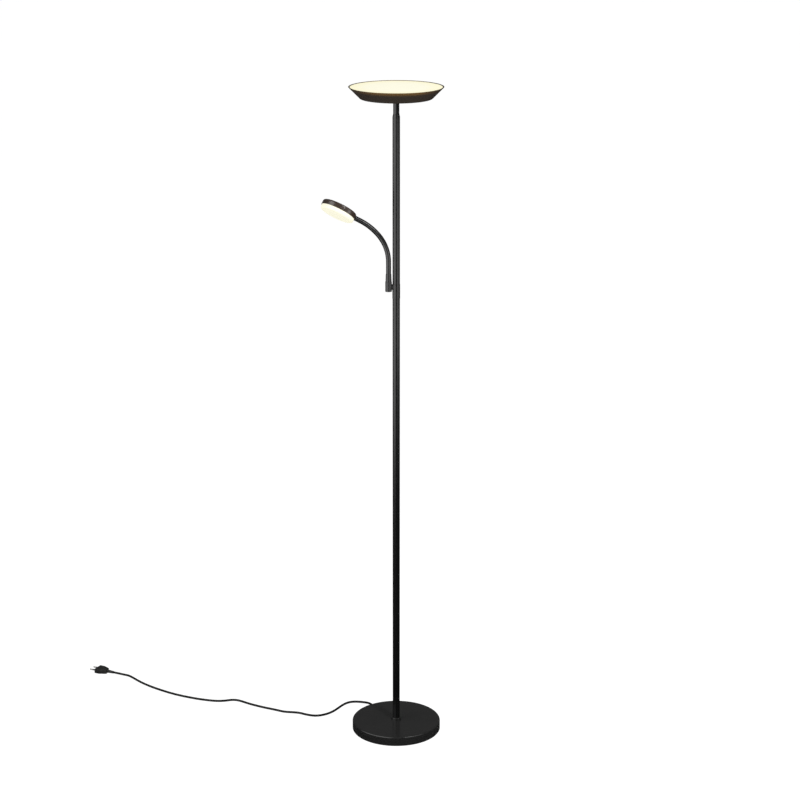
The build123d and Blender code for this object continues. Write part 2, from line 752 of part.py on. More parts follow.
terminal_top = head_lead_top + lead_diameter / 2 + terminal_cap
with BuildPart() as head_terminal:
    with Locations((terminal_start, 0, head_board_top)):
        Box(terminal_length, terminal_width, terminal_top - head_board_top, align=FROM_START)
    with Locations((terminal_start, head_lead_foot.Y, head_lead_top)):
        Cylinder(
            lead_diameter / 2 + ease_gap, 2 * lead_overlap, rotation=(0, 90, 0), mode=Mode.SUBTRACT
        )
write(head_terminal, "head_terminal")


def bowl_inside(height):
    """Inner radius of the bowl's wall at a height."""
    return bowl_diameter / 2 - (lamp_height - height) * wall_slope - wall_width


diffuser_top = lamp_height - diffuser_recess
diffuser_bottom = diffuser_top - diffuser_thickness
with BuildPart() as head_diffuser:
    with Locations((0, 0, diffuser_bottom)):
        Cone(
            bowl_inside(diffuser_bottom) - ease_gap,
            bowl_inside(diffuser_top) - ease_gap,
            diffuser_thickness,
            align=FROM_BOTTOM,
        )
write(head_diffuser, "head_diffuser")

# Arm: stub, holder and ferrule
with BuildPart(arm_plane) as arm_stub:
    with Locations((0, 0, connector_diameter / 4)):
        Cylinder(stub_diameter / 2, arm_distance - connector_diameter / 4, align=FROM_BOTTOM)
    for distance, diameter in ((0, connector_diameter), (arm_distance, holder_diameter)):
        with Locations((0, 0, distance)):
            Cylinder(
                diameter / 2 + stub_skin, 4 * stub_diameter, rotation=(90, 0, 0), mode=Mode.SUBTRACT
            )
    rod_start = connector_diameter / 2 - stub_seat
    rod_end = arm_distance - holder_diameter / 2 + holder_seat
    with Locations((0, 0, rod_start)):
        Cylinder(stub_rod_diameter / 2, rod_end - rod_start, align=FROM_BOTTOM)
        Cylinder(stub_bore_diameter / 2, rod_end - rod_start, align=FROM_BOTTOM, mode=Mode.SUBTRACT)
write(arm_stub, "arm_stub")

spigot_bottom = holder_top - ferrule_spigot_length
with BuildPart() as arm_holder:
    with Locations((-arm_distance, 0, holder_bottom)):
        Cylinder(holder_diameter / 2, holder_top - holder_bottom, align=FROM_BOTTOM)
    chamfer(arm_holder.edges().filter_by(GeomType.CIRCLE), holder_edge)
    with Locations((-arm_distance, 0, holder_bottom + holder_floor)):
        Cylinder(holder_bore_diameter / 2, holder_top, align=FROM_BOTTOM, mode=Mode.SUBTRACT)
    with Locations((-arm_distance, 0, spigot_bottom - ease_gap)):
        Cylinder(
            ferrule_spigot_diameter / 2 + screwed_gap, holder_top, align=FROM_BOTTOM, mode=Mode.SUBTRACT
        )
    with BuildSketch(arm_plane):
        Circle(stub_rod_diameter / 2 + screwed_gap)
    extrude(amount=arm_distance, mode=Mode.SUBTRACT)
write(arm_holder, "arm_holder")

with BuildPart() as neck_ferrule:
    with Locations((-arm_distance, 0, holder_top)):
        Cone(
            ferrule_diameter / 2 + ferrule_flare,
            ferrule_diameter / 2,
            ferrule_top - holder_top,
            align=FROM_BOTTOM,
        )
    chamfer(neck_ferrule.edges().group_by(Axis.Z)[-1], ferrule_edge)
    with Locations((-arm_distance, 0, spigot_bottom)):
        Cylinder(ferrule_spigot_diameter / 2, ferrule_spigot_length, align=FROM_BOTTOM)
        Cylinder(ferrule_bore_diameter / 2, ferrule_top, align=FROM_BOTTOM, mode=Mode.SUBTRACT)
    with Locations((-arm_distance, 0, ferrule_top - ferrule_socket_depth)):
        Cylinder(
            neck_diameter / 2 + screwed_gap, ferrule_socket_depth, align=FROM_BOTTOM, mode=Mode.SUBTRACT
        )
write(neck_ferrule, "neck_ferrule")

# Flexible neck: its centre line is a rise, two arcs and a straight tail in the arm's plane
lower_length = neck_lower_radius * math.radians(neck_lower_turn)
upper_length = neck_upper_radius * math.radians(neck_upper_turn)
neck_marks = [0, neck_rise, neck_rise + lower_length, neck_rise + lower_length + upper_length]
neck_length = neck_marks[-1] + neck_tail


def neck_pose(along):
    """Point of the neck's centre line and the lean of its tangent from vertical, in radians."""
    x, z, lean = -arm_distance, ferrule_top, 0.0
    stretches = (
        (neck_rise, None),
        (lower_length, neck_lower_radius),
        (upper_length, neck_upper_radius),
        (neck_tail, None),
    )
    left = along
    for length, radius in stretches:
        part = left if left < length or length == neck_tail else length
        if radius is None:
            x -= part * math.sin(lean)
            z += part * math.cos(lean)
        else:
            turned = lean + part / radius
            x -= radius * (math.cos(lean) - math.cos(turned))
            z += radius * (math.sin(turned) - math.sin(lean))
            lean = turned
        left -= part
        if left <= 0:
            break
    return Vector(x, 0, z), lean


def neck_plane(along):
    """Plane across the neck, facing its far end."""
    point, lean = neck_pose(along)
    return Plane(point, x_dir=(0, 1, 0), z_dir=(-math.sin(lean), 0, math.cos(lean)))


def neck_run(start, end):
    """Centre line of the neck between two distances, as lines and arcs."""
    stops = [start, *[mark for mark in neck_marks if start < mark < end], end]
    for first, last in zip(stops, stops[1:]):
        middle = (first + last) / 2
        straight = last <= neck_rise or first >= neck_marks[-1]
        if straight:
            Line(neck_pose(first)[0], neck_pose(last)[0])
        else:
            ThreePointArc(neck_pose(first)[0], neck_pose(middle)[0], neck_pose(last)[0])


def neck_piece(start, end, has_ball, has_cup):
    """A stretch of neck tube with a ball at its lower end and a cup at its upper end."""
    with BuildPart() as piece:
        with BuildLine() as run:
            neck_run(start, end)
        with BuildSketch(neck_plane(start)):
            Circle(neck_diameter / 2)
        sweep(path=run.wire())
        if has_ball:
            with Locations(neck_pose(start)[0]):
                Sphere(neck_diameter / 2 - ball_inset)
        if has_cup:
            with Locations(neck_pose(end)[0]):
                Sphere(neck_diameter / 2 + moving_gap, mode=Mode.SUBTRACT)
        with BuildSketch(neck_plane(start)):
            Circle(neck_bore_diameter / 2)
        sweep(path=run.wire(), mode=Mode.SUBTRACT)
        if has_ball:
            with BuildSketch(neck_plane(start)):
                Circle(neck_bore_diameter / 2)
            extrude(amount=-neck_diameter, mode=Mode.SUBTRACT)
    return piece


neck_foot = neck_piece(-ferrule_socket_depth, neck_sway_at, has_ball=False, has_cup=True)
write(neck_foot, "neck_foot")
neck_stops = [neck_sway_at, *neck_bends_at]
for number, (start, end) in enumerate(zip(neck_stops, neck_stops[1:]), 1):
    write(neck_piece(start, end, has_ball=True, has_cup=True), f"neck_link_{number}")

# Last stretch of neck with the hollow spigot that the reading light turns on
end_plane = neck_plane(neck_length)
spigot_length = moving_gap + swivel_boss_length + 2 * reading_wall + moving_gap + clip_thickness
with BuildPart() as neck_end:
    add(neck_piece(neck_stops[-1], neck_length, has_ball=True, has_cup=False).part)
    with BuildSketch(end_plane):
        Circle(neck_diameter / 2)
        Circle(spigot_bore_diameter / 2, mode=Mode.SUBTRACT)
    extrude(amount=-reading_wall)
    with BuildSketch(end_plane):
        Circle(spigot_diameter / 2)
        Circle(spigot_bore_diameter / 2, mode=Mode.SUBTRACT)
    extrude(amount=spigot_length)
write(neck_end, "neck_end")

with BuildPart() as neck_clip:
    with BuildSketch(end_plane.offset(spigot_length - clip_thickness)):
        Circle(clip_diameter / 2)
        Circle(spigot_diameter / 2 + screwed_gap, mode=Mode.SUBTRACT)
    extrude(amount=clip_thickness)
write(neck_clip, "neck_clip")

# Reading light, built from the casing's back; its X axis points to the neck and its Z axis out of the face
roll = math.radians(reading_roll)
outward = end_plane.z_dir
sideways = Vector(0, -1, 0)
downward = sideways.cross(outward) * math.cos(roll) + sideways * math.sin(roll)
reading_radius = reading_diameter / 2
reading_centre = end_plane.origin + outward * (reading_radius + moving_gap)
reading_plane = Plane(
    reading_centre - downward * reading_turn_height, x_dir=outward * -1, z_dir=downward
)
reading_axis = Axis(reading_plane.origin, downward)
ledge_radius = reading_radius - reading_wall - reading_ledge_width
reading_board_radius = ledge_radius - reading_board_gap
reading_screw_distance = reading_board_radius - reading_screw_margin
reading_led_outer = reading_board_radius - reading_led_margin
reading_led_radii = (reading_led_outer - reading_led_spacing, reading_led_outer)
boss_start = reading_radius - 2 * reading_wall - swivel_boss_length
reading_board_top = reading_board_height + led_board_thickness
screw_start_angle = 180 / reading_screw_count
with BuildPart(reading_plane) as reading_casing:
    Cylinder(reading_radius, reading_height, align=FROM_BOTTOM)
    fillet(reading_casing.edges().sort_by(reading_axis)[0], reading_back_edge)
    with Locations((0, 0, reading_wall)):
        Cylinder(ledge_radius, reading_height, align=FROM_BOTTOM, mode=Mode.SUBTRACT)
    with Locations((0, 0, reading_ledge_height)):
        Cylinder(
            reading_radius - reading_wall, reading_height, align=FROM_BOTTOM, mode=Mode.SUBTRACT
        )
    with Locations((boss_start, 0, reading_wall)):
        Box(
            swivel_boss_length + reading_wall / 2,
            swivel_boss_width,
            reading_ledge_height - reading_wall,
            align=FROM_START,
        )
    with Locations((0, 0, reading_wall)):
        with PolarLocations(reading_screw_distance, reading_screw_count, start_angle=screw_start_angle):
            Cylinder(
                reading_post_diameter / 2, reading_board_height - reading_wall, align=FROM_BOTTOM
            )
            Cylinder(
                board_screw_diameter / 2 + screwed_gap,
                reading_height,
                align=FROM_BOTTOM,
                mode=Mode.SUBTRACT,
            )
    with Locations((boss_start, 0, reading_turn_height)):
        Cylinder(
            spigot_diameter / 2 + running_gap,
            2 * reading_radius,
            rotation=(0, 90, 0),
            align=FROM_BOTTOM,
            mode=Mode.SUBTRACT,
        )
write(reading_casing, "reading_casing")

with BuildPart(reading_plane) as reading_board:
    with Locations((0, 0, reading_board_height)):
        Cylinder(reading_board_radius, led_board_thickness, align=FROM_BOTTOM)
        with PolarLocations(reading_screw_distance, reading_screw_count, start_angle=screw_start_angle):
            Cylinder(
                board_screw_diameter / 2 + ease_gap,
                led_board_thickness,
                align=FROM_BOTTOM,
                mode=Mode.SUBTRACT,
            )
write(reading_board, "reading_board")

with BuildPart(reading_plane) as reading_leds:
    with Locations((0, 0, reading_board_top)):
        for ring_radius, count in zip(reading_led_radii, reading_led_counts):
            with PolarLocations(ring_radius, count, start_angle=180 / count):
                Box(led_length, led_width, led_height, align=FROM_BOTTOM)
write(reading_leds, "reading_leds")

with BuildPart(reading_plane) as reading_screws:
    with PolarLocations(reading_screw_distance, reading_screw_count, start_angle=screw_start_angle):
        with Locations((0, 0, reading_board_top)):
            Cylinder(board_screw_head_diameter / 2, board_screw_head_height, align=FROM_BOTTOM)
        with Locations((0, 0, reading_board_top - reading_screw_length)):
            Cylinder(board_screw_diameter / 2, reading_screw_length, align=FROM_BOTTOM)
write(reading_screws, "reading_screws")

diffuser_radius = reading_radius - reading_wall - ease_gap
with BuildPart(reading_plane) as reading_diffuser:
    with Locations((0, 0, reading_ledge_height)):
        Cylinder(diffuser_radius, reading_face_height - reading_ledge_height, align=FROM_BOTTOM)
    fillet(reading_diffuser.edges().sort_by(reading_axis)[-1], reading_face_edge)
    offset(
        amount=-reading_diffuser_wall, openings=reading_diffuser.faces().sort_by(reading_axis)[0]
    )
write(reading_diffuser, "reading_diffuser")

# Low-voltage leads, from the driver up the pole to the bowl and to the arm
lead_start = driver_distance - driver_length / 2 + lead_overlap
arm_lead_top = ferrule_top - ferrule_socket_depth - ease_gap
head_lead_points = [
    exit_plane.from_local_coords((lead_start, -lead_offset, lead_base_height)),
    head_lead_foot,
    Vector(head_lead_foot.X, head_lead_foot.Y, head_lead_top),
    Vector(terminal_start + lead_overlap - ease_gap, head_lead_foot.Y, head_lead_top),
]
arm_lead_points = [
    exit_plane.from_local_coords((lead_start, lead_offset, lead_base_height)),
    arm_lead_foot,
    Vector(arm_lead_foot.X, arm_lead_foot.Y, arm_height),
    Vector(-arm_distance, arm_lead_foot.Y, arm_height),
    Vector(-arm_distance, arm_lead_foot.Y, arm_lead_top),
]


def inner_lead(points):
    """A thin lead with equal bends at its corners."""
    with BuildPart() as lead:
        with BuildLine() as route:
            FilletPolyline(*points, radius=lead_bend_radius)
        with BuildSketch(Plane(points[0], z_dir=route.wire() % 0)):
            Circle(lead_diameter / 2)
        sweep(path=route.wire())
    return lead


head_lead = inner_lead(head_lead_points)
write(head_lead, "head_lead")
arm_lead = inner_lead(arm_lead_points)
write(arm_lead, "arm_lead")

# Places of the neck's bends and of the reading light's turning axis
for name, along in zip(("sway", "bend_1", "bend_2", "bend_3", "bend_4"), neck_stops):
    print(name, tuple(round(v, 3) for v in neck_pose(along)[0]))
print("turn", tuple(round(v, 3) for v in end_plane.origin), tuple(round(v, 6) for v in outward))
print("neck length", round(neck_length, 1), "cord end", tuple(round(v, 1) for v in cord_end))
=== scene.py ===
"""Looks of a torchiere floor lamp: black painted metal, opal faces, a flexible neck and a mains lead."""

import json
import math

import bmesh
import bpy
from mathutils import Matrix, Vector


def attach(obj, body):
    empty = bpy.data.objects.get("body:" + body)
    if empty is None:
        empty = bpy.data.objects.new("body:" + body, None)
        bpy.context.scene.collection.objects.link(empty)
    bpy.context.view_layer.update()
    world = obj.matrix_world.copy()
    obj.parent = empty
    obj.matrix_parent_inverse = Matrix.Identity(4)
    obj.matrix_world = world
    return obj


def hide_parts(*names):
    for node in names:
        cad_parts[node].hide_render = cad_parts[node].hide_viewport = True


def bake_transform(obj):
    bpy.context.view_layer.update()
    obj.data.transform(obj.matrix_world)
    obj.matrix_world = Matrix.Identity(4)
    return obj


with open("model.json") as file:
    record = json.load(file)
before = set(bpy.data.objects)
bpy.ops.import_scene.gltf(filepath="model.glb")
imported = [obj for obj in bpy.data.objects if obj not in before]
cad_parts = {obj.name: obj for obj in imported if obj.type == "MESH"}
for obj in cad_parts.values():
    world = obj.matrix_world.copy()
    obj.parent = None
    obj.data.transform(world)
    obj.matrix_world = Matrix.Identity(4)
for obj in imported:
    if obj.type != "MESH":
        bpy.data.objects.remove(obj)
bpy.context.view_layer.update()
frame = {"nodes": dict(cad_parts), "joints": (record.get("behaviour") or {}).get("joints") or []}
nodes = frame["nodes"]
joints = {joint["name"]: joint for joint in frame["joints"]}

# Base, foot ring and pole, in metres
base_radius = 0.1225
base_bottom = 0.001
base_top = 0.0265
base_edge = 0.004
base_wall = 0.0015
base_hole = 0.0051
foot_radius = 0.0138
foot_bore = 0.0099
foot_top = 0.0325
foot_edge = 0.0015
pole_radius = 0.0098
pole_bore = 0.0086
pole_edge = 0.0003
pole_seam = 0.640
connector_radius = 0.0103
connector_bore = 0.005
connector_bottom = 1.240
connector_top = 1.279
connector_edge = 0.0004
shoulder_bottom = 1.720
shoulder_top = 1.730
shoulder_taper = 0.008
shoulder_slope = 0.0015
shoulder_soft = 0.0001
stem_radius = 0.008
stem_bore = 0.0065
stem_bottom = 1.697

# Bowl and its diffuser
bowl_bottom = 1.770
bowl_top = 1.800
bowl_floor_radius = 0.094
bowl_rim_radius = 0.124
bowl_wall = 0.0016
bowl_floor_edge = 0.0015
bowl_lip_width = 0.0038
bowl_lip_height = 0.0009
bowl_lip_edge = 0.0003
bowl_hole = 0.0051
face_top = 1.799
face_bottom = 1.7965
face_gap = 0.0001
face_edge = 0.0004

# Arm, ferrule and neck
arm_offset = -0.0203
holder_radius = 0.00875
holder_bottom = 1.2588
holder_top = 1.2855
holder_edge = 0.0006
holder_socket = 0.0055
holder_socket_depth = 0.0072
ferrule_radius = 0.0073
ferrule_flare = 0.0008
ferrule_top = 1.3061
ferrule_edge = 0.0003
ferrule_bore = 0.0032
ferrule_socket = 0.00672
ferrule_socket_depth = 0.012
neck_radius = 0.0067
neck_rise = 0.0323
neck_lower_radius = 0.112
neck_lower_turn = math.radians(38.7)
neck_upper_radius = 0.155
neck_upper_turn = math.radians(23.7)
neck_tail = 0.0149
neck_foot_depth = 0.010
neck_joints_at = (0.014, 0.046, 0.079, 0.111, 0.140)
neck_step = 0.0015
spigot_radius = 0.003
spigot_length = 0.016

# Reading light, measured from the casing's back towards its face
reading_radius = 0.048
reading_gap = 0.0003
reading_height = 0.0146
reading_turn_height = 0.0084
reading_wall = 0.0015
reading_back_edge = 0.0045
reading_mouth_edge = 0.0003
reading_ledge = 0.0122
reading_ledge_radius = 0.045
reading_face_top = 0.025
reading_face_radius = 0.0464
reading_face_edge = 0.005
reading_face_wall = 0.002
reading_roll = math.radians(22.0)

# Mains lead, its grip and its plug
cord_diameter = 0.0063
grip_heading = math.radians(118.0)
grip_level = 0.0085
grip_neck_radius = 0.0043
grip_neck_length = 0.009
grip_flange_radius = 0.0065
grip_flange = 0.0025
grip_boot_length = 0.020
grip_boot_radius = 0.0050
grip_boot_end_radius = 0.00395
grip_flange_edge = 0.0008
grip_tip_edge = 0.0006
plug_heading = math.radians(154.5)
plug_boot_length = 0.023
plug_boot_radius = 0.0048
plug_boot_end_radius = 0.00385
plug_rear = 0.020
plug_length = 0.037
plug_shoulder = 0.016
plug_rear_half = 0.0085
plug_front_half = 0.017
plug_thickness = 0.013
plug_corner = 0.003
plug_rim = 0.0015
panel_margin = 0.0022
panel_step = 0.0006
panel_least_area = 1e-4
level_normal = 0.99
pin_length = 0.019
pin_sleeve = (0.02, 0.02, 0.02, 1.0)
pin_sleeve_edge = 0.0002
cord_route = (
    (-0.06807, 0.12803, 0.0085),
    (-0.07465, 0.14039, 0.0085),
    (-0.0880, 0.1525, 0.0062),
    (-0.1075, 0.1620, 0.0040),
    (-0.1240, 0.1643, 0.0032),
    (-0.1390, 0.1588, 0.0032),
    (-0.1525, 0.1445, 0.0032),
    (-0.1660, 0.1210, 0.0032),
    (-0.1820, 0.0950, 0.0032),
    (-0.2030, 0.0760, 0.0032),
    (-0.2290, 0.0670, 0.0032),
    (-0.2550, 0.0755, 0.0032),
    (-0.2760, 0.0885, 0.0032),
    (-0.2980, 0.0925, 0.0032),
    (-0.3200, 0.0950, 0.0032),
    (-0.3440, 0.1080, 0.0032),
    (-0.3860, 0.1275, 0.0032),
    (-0.4240, 0.1500, 0.0032),
    (-0.4470, 0.1675, 0.0032),
    (-0.4620, 0.1760, 0.0032),
    (-0.4780, 0.1765, 0.0032),
    (-0.4940, 0.1705, 0.0032),
    (-0.5200, 0.1680, 0.0032),
    (-0.5600, 0.1780, 0.0032),
    (-0.6040, 0.1950, 0.0032),
    (-0.6480, 0.2175, 0.0032),
    (-0.6880, 0.2445, 0.0032),
    (-0.7280, 0.2760, 0.0032),
    (-0.7580, 0.3060, 0.0032),
    (-0.7800, 0.3330, 0.0032),
    (-0.7940, 0.3490, 0.0032),
    (-0.8110, 0.3545, 0.0043),
    (-0.82996, 0.35947, 0.0066),
    (-0.8426, 0.3655, 0.0066),
)

# Studio
pale_floor = (0.8, 0.8, 0.8, 1.0)
white = (1.0, 1.0, 1.0, 1.0)
floor_half = 30.0
floor_shade = (0.1, 0.1, 0.1, 1.0)
floor_fill = 0.975
floor_in_gloss = 0.02
ambient_level = 0.3
ambient_in_gloss = 0.1
camera_place = (0.0, -5.445, 2.561)
camera_tilt = math.radians(73.61)
camera_lens = 95.09
camera_sensor = 36.0
camera_shift = 0.0047
camera_reach = 100.0

# Soft lamps: name, heading in degrees, distance, low edge, high edge, width, radiance, mirrored in gloss
softboxes = (
    ("left_softbox", -55.0, 1.3, 0.42, 2.2, 2.4, 2.3, True),
    ("right_softbox", 52.0, 1.3, 0.68, 1.47, 1.2, 2.0, True),
    ("high_right_softbox", 46.0, 1.6, 2.3, 3.4, 0.8, 7.0, True),
    ("high_left_softbox", -66.0, 1.3, 2.3, 3.1, 1.0, 1.9, True),
    ("front_softbox", 6.0, 2.0, 0.95, 2.0, 0.8, 0.35, True),
    ("key_lamp", 35.0, 2.2, 2.0, 3.2, 0.4, 64.0, False),
)

# Glow of the lit faces and of the light chips
opal_glow = 1.0
opal_even_share = 0.55
chip_glow = 0.6

# Painted warm glow of the face's light on the bowl's paint under its lip
lip_glow_colour = (0.090, 0.048, 0.0124, 1.0)
lip_glow_depth = 0.0115
lip_glow_middle = 0.045
lip_glow_end = 0.112
lip_glow_least = 0.15

# Fineness of the meshes
large_round = 192
slim_round = 72
small_round = 48
cord_facets = 6
cord_steps = 10
bend_segments = 6
crease_angle = math.radians(35.0)
merge_distance = 1e-7


def turned(outline, rounds=None, closed=True, steps=slim_round):
    """A shape turned about the upright from corners of (radius, level); rounds gives corners a radius."""
    shape = bmesh.new()
    corners = [shape.verts.new((radius, 0.0, level)) for radius, level in outline]
    followers = corners[1:] + corners[:1] if closed else corners[1:]
    for start, end in zip(corners, followers):
        shape.edges.new((start, end))
    for corner, radius in (rounds or {}).items():
        bmesh.ops.bevel(
            shape,
            geom=[corners[corner]],
            offset=radius,
            offset_type="OFFSET",
            affect="VERTICES",
            segments=bend_segments,
            profile=0.5,
            material=-1,
        )
    bmesh.ops.spin(
        shape,
        geom=shape.verts[:] + shape.edges[:],
        cent=(0.0, 0.0, 0.0),
        axis=(0.0, 0.0, 1.0),
        angle=2 * math.pi,
        steps=steps,
        use_merge=True,
    )
    bmesh.ops.remove_doubles(shape, verts=shape.verts, dist=merge_distance)
    bmesh.ops.recalc_face_normals(shape, faces=shape.faces)
    return shape


def seat(origin, across, out):
    """Matrix that puts a shape's foot at origin, its X axis along across and its Z axis along out."""
    side = out.cross(across)
    return Matrix.Translation(origin) @ Matrix((across, side, out)).transposed().to_4x4()


def make_piece(shape, name, finish, replaced=(), body="stand", place=None):
    """Turns a shape into a piece with its finish, put in its place and riding on its body."""
    if place is not None:
        shape.transform(place)
    mesh = bpy.data.meshes.new(name)
    shape.to_mesh(mesh)
    shape.free()
    mesh.shade_smooth()
    mesh.set_sharp_from_angle(angle=crease_angle)
    mesh.materials.append(finish)
    piece = bpy.data.objects.new(name, mesh)
    bpy.context.scene.collection.objects.link(piece)
    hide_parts(*replaced)
    if body:
        even = piece.modifiers.new("even_shading", "WEIGHTED_NORMAL")
        even.keep_sharp = True
        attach(piece, body)
    return piece


def add_node(tree, kind, inputs=None, **settings):
    """A node with its settings; an input is given a value or another node's output."""
    made = tree.nodes.new(kind)
    for setting, value in settings.items():
        setattr(made, setting, value)
    for socket, value in (inputs or {}).items():
        if isinstance(value, bpy.types.NodeSocket):
            tree.links.new(value, made.inputs[socket])
        else:
            made.inputs[socket].default_value = value
    return made


def noise(tree, position, scale, detail, roughness=0.5):
    """Value of a noise at a position."""
    inputs = {"Vector": position, "Scale": scale, "Detail": detail, "Roughness": roughness}
    return add_node(tree, "ShaderNodeTexNoise", inputs).outputs[0]


def calculate(tree, operation, first, second):
    """Value of a sum, a product or another reckoning of two values."""
    return add_node(tree, "ShaderNodeMath", {0: first, 1: second}, operation=operation).outputs[0]


def weigh(tree, first, share, second):
    """The first value by its share plus the second by the rest."""
    part = calculate(tree, "MULTIPLY", first, share)
    rest = calculate(tree, "MULTIPLY", second, 1.0 - share)
    return calculate(tree, "ADD", part, rest)


def ramp(tree, value, low, high, to_low=0.0, to_high=1.0):
    """A value's range stretched smoothly over another range."""
    inputs = {"Value": value, "From Min": low, "From Max": high, "To Min": to_low, "To Max": to_high}
    return add_node(tree, "ShaderNodeMapRange", inputs, interpolation_type="SMOOTHSTEP").outputs[0]


def tint(tree, mask, first, second):
    """First colour where the mask is 0, second where it is 1."""
    return add_node(tree, "ShaderNodeMix", {0: mask, 6: first, 7: second}, data_type="RGBA").outputs[2]


def start_group(name, inputs, outputs):
    """An empty node group with its named sockets."""
    tree = bpy.data.node_groups.new(name, "ShaderNodeTree")
    tree.interface.new_socket("Position", in_out="INPUT", socket_type="NodeSocketVector")
    for label in inputs:
        tree.interface.new_socket(label, in_out="INPUT", socket_type="NodeSocketFloat")
    for label in outputs:
        tree.interface.new_socket(label, in_out="OUTPUT", socket_type="NodeSocketFloat")
    return tree, tree.nodes.new("NodeGroupInput").outputs, tree.nodes.new("NodeGroupOutput").inputs


def make_sprayed_coat():
    """Sprayed and baked paint: orange peel, fine grain, and slow drifts in tone and sheen."""
    tree, given, wanted = start_group("sprayed_coat", ("Peel", "Grain"), ("Height", "Tone", "Sheen"))
    peel = noise(tree, given["Position"], given["Peel"], 1.0, 0.4)
    grain = noise(tree, given["Position"], given["Grain"], 2.0)
    drift = noise(tree, given["Position"], 11.0, 3.0)
    tree.links.new(weigh(tree, peel, 0.7, grain), wanted["Height"])
    tree.links.new(weigh(tree, drift, 0.6, grain), wanted["Tone"])
    tree.links.new(weigh(tree, drift, 0.5, peel), wanted["Sheen"])
    return tree


def make_moulded_skin():
    """Moulded plastic or rubber: a leathery cell grain with fine pits and slow drifts."""
    tree, given, wanted = start_group("moulded_skin", ("Cells",), ("Height", "Tone", "Sheen"))
    inputs = {"Vector": given["Position"], "Scale": given["Cells"], "Randomness": 1.0}
    cells = add_node(tree, "ShaderNodeTexVoronoi", inputs, feature="SMOOTH_F1").outputs["Distance"]
    pits = noise(tree, given["Position"], 2600.0, 2.0)
    drift = noise(tree, given["Position"], 40.0, 3.0)
    tree.links.new(weigh(tree, cells, 0.6, pits), wanted["Height"])
    tree.links.new(weigh(tree, drift, 0.7, pits), wanted["Tone"])
    tree.links.new(weigh(tree, drift, 0.6, cells), wanted["Sheen"])
    return tree


def make_drawn_metal():
    """Drawn or milled metal: long fine lines along the upright, with small stains."""
    tree, given, wanted = start_group("drawn_metal", ("Lines",), ("Height", "Tone", "Sheen"))
    stretch = add_node(tree, "ShaderNodeMapping", {"Vector": given["Position"], "Scale": (1.0, 1.0, 0.03)})
    lines = noise(tree, stretch.outputs[0], given["Lines"], 3.0)
    stains = noise(tree, given["Position"], 70.0, 4.0)
    tree.links.new(lines, wanted["Height"])
    tree.links.new(weigh(tree, lines, 0.5, stains), wanted["Tone"])
    tree.links.new(weigh(tree, stains, 0.6, lines), wanted["Sheen"])
    return tree


def make_board_tracks():
    """Printed board: copper tracks under the lacquer and a fine weave."""
    tree, given, wanted = start_group("board_tracks", ("Tracks",), ("Height", "Tone", "Sheen"))
    inputs = {"Vector": given["Position"], "Scale": given["Tracks"], "Mortar Size": 0.06}
    tracks = add_node(tree, "ShaderNodeTexBrick", inputs).outputs["Fac"]
    weave = noise(tree, given["Position"], 1500.0, 2.0)
    tree.links.new(weigh(tree, tracks, 0.8, weave), wanted["Height"])
    tree.links.new(weigh(tree, tracks, 0.7, weave), wanted["Tone"])
    tree.links.new(weigh(tree, weave, 0.7, tracks), wanted["Sheen"])
    return tree


def make_settled_dust():
    """Thin dust on faces that look up, gathered in small clouds."""
    tree, given, wanted = start_group("settled_dust", ("Amount",), ("Mask",))
    normal = add_node(tree, "ShaderNodeNewGeometry").outputs["Normal"]
    facing = add_node(tree, "ShaderNodeSeparateXYZ", {0: normal})
    upward = ramp(tree, facing.outputs["Z"], 0.5, 0.95)
    clouds = ramp(tree, noise(tree, given["Position"], 60.0, 5.0, 0.65), 0.45, 0.75)
    specks = ramp(tree, noise(tree, given["Position"], 900.0, 2.0), 0.6, 0.75)
    lying = calculate(tree, "MULTIPLY", upward, weigh(tree, clouds, 0.6, specks))
    tree.links.new(calculate(tree, "MULTIPLY", lying, given["Amount"]), wanted["Mask"])
    return tree


# Patterns that the finishes share
sprayed_coat = make_sprayed_coat()
moulded_skin = make_moulded_skin()
drawn_metal = make_drawn_metal()
board_tracks = make_board_tracks()
settled_dust = make_settled_dust()
dust_colour = (0.16, 0.15, 0.135, 1.0)
pattern_low = 0.25
pattern_high = 0.75
bump_strength = 0.5


def start_material(name):
    """A material with its shader and the object's own position."""
    material = bpy.data.materials.new(name)
    material.use_nodes = True
    tree = material.node_tree
    tree.nodes.clear()
    shader = add_node(tree, "ShaderNodeBsdfPrincipled")
    output = add_node(tree, "ShaderNodeOutputMaterial")
    tree.links.new(shader.outputs[0], output.inputs["Surface"])
    position = add_node(tree, "ShaderNodeTexCoord").outputs["Object"]
    return material, tree, shader, position


def surface(tree, shader, pattern, dark, light, sheen, depth, specular):
    """Feeds a pattern's tone, sheen and height to a shader."""
    colour = tint(tree, ramp(tree, pattern["Tone"], pattern_low, pattern_high), dark, light)
    tree.links.new(colour, shader.inputs["Base Color"])
    roughness = ramp(tree, pattern["Sheen"], pattern_low, pattern_high, *sheen)
    tree.links.new(roughness, shader.inputs["Roughness"])
    inputs = {"Strength": bump_strength, "Distance": depth, "Height": pattern["Height"]}
    bump = add_node(tree, "ShaderNodeBump", inputs)
    tree.links.new(bump.outputs[0], shader.inputs["Normal"])
    shader.inputs["Specular IOR Level"].default_value = specular
    return colour


def painted(name, dark, light, sheen, depth=0.00005, specular=0.5, dust=0.0):
    """Baked paint on metal."""
    material, tree, shader, position = start_material(name)
    inputs = {"Position": position, "Peel": 640.0, "Grain": 3400.0}
    pattern = add_node(tree, "ShaderNodeGroup", inputs, node_tree=sprayed_coat).outputs
    colour = surface(tree, shader, pattern, dark, light, sheen, depth, specular)
    if dust:
        inputs = {"Position": position, "Amount": dust}
        mask = add_node(tree, "ShaderNodeGroup", inputs, node_tree=settled_dust).outputs["Mask"]
        tree.links.new(tint(tree, mask, colour, dust_colour), shader.inputs["Base Color"])
    return material


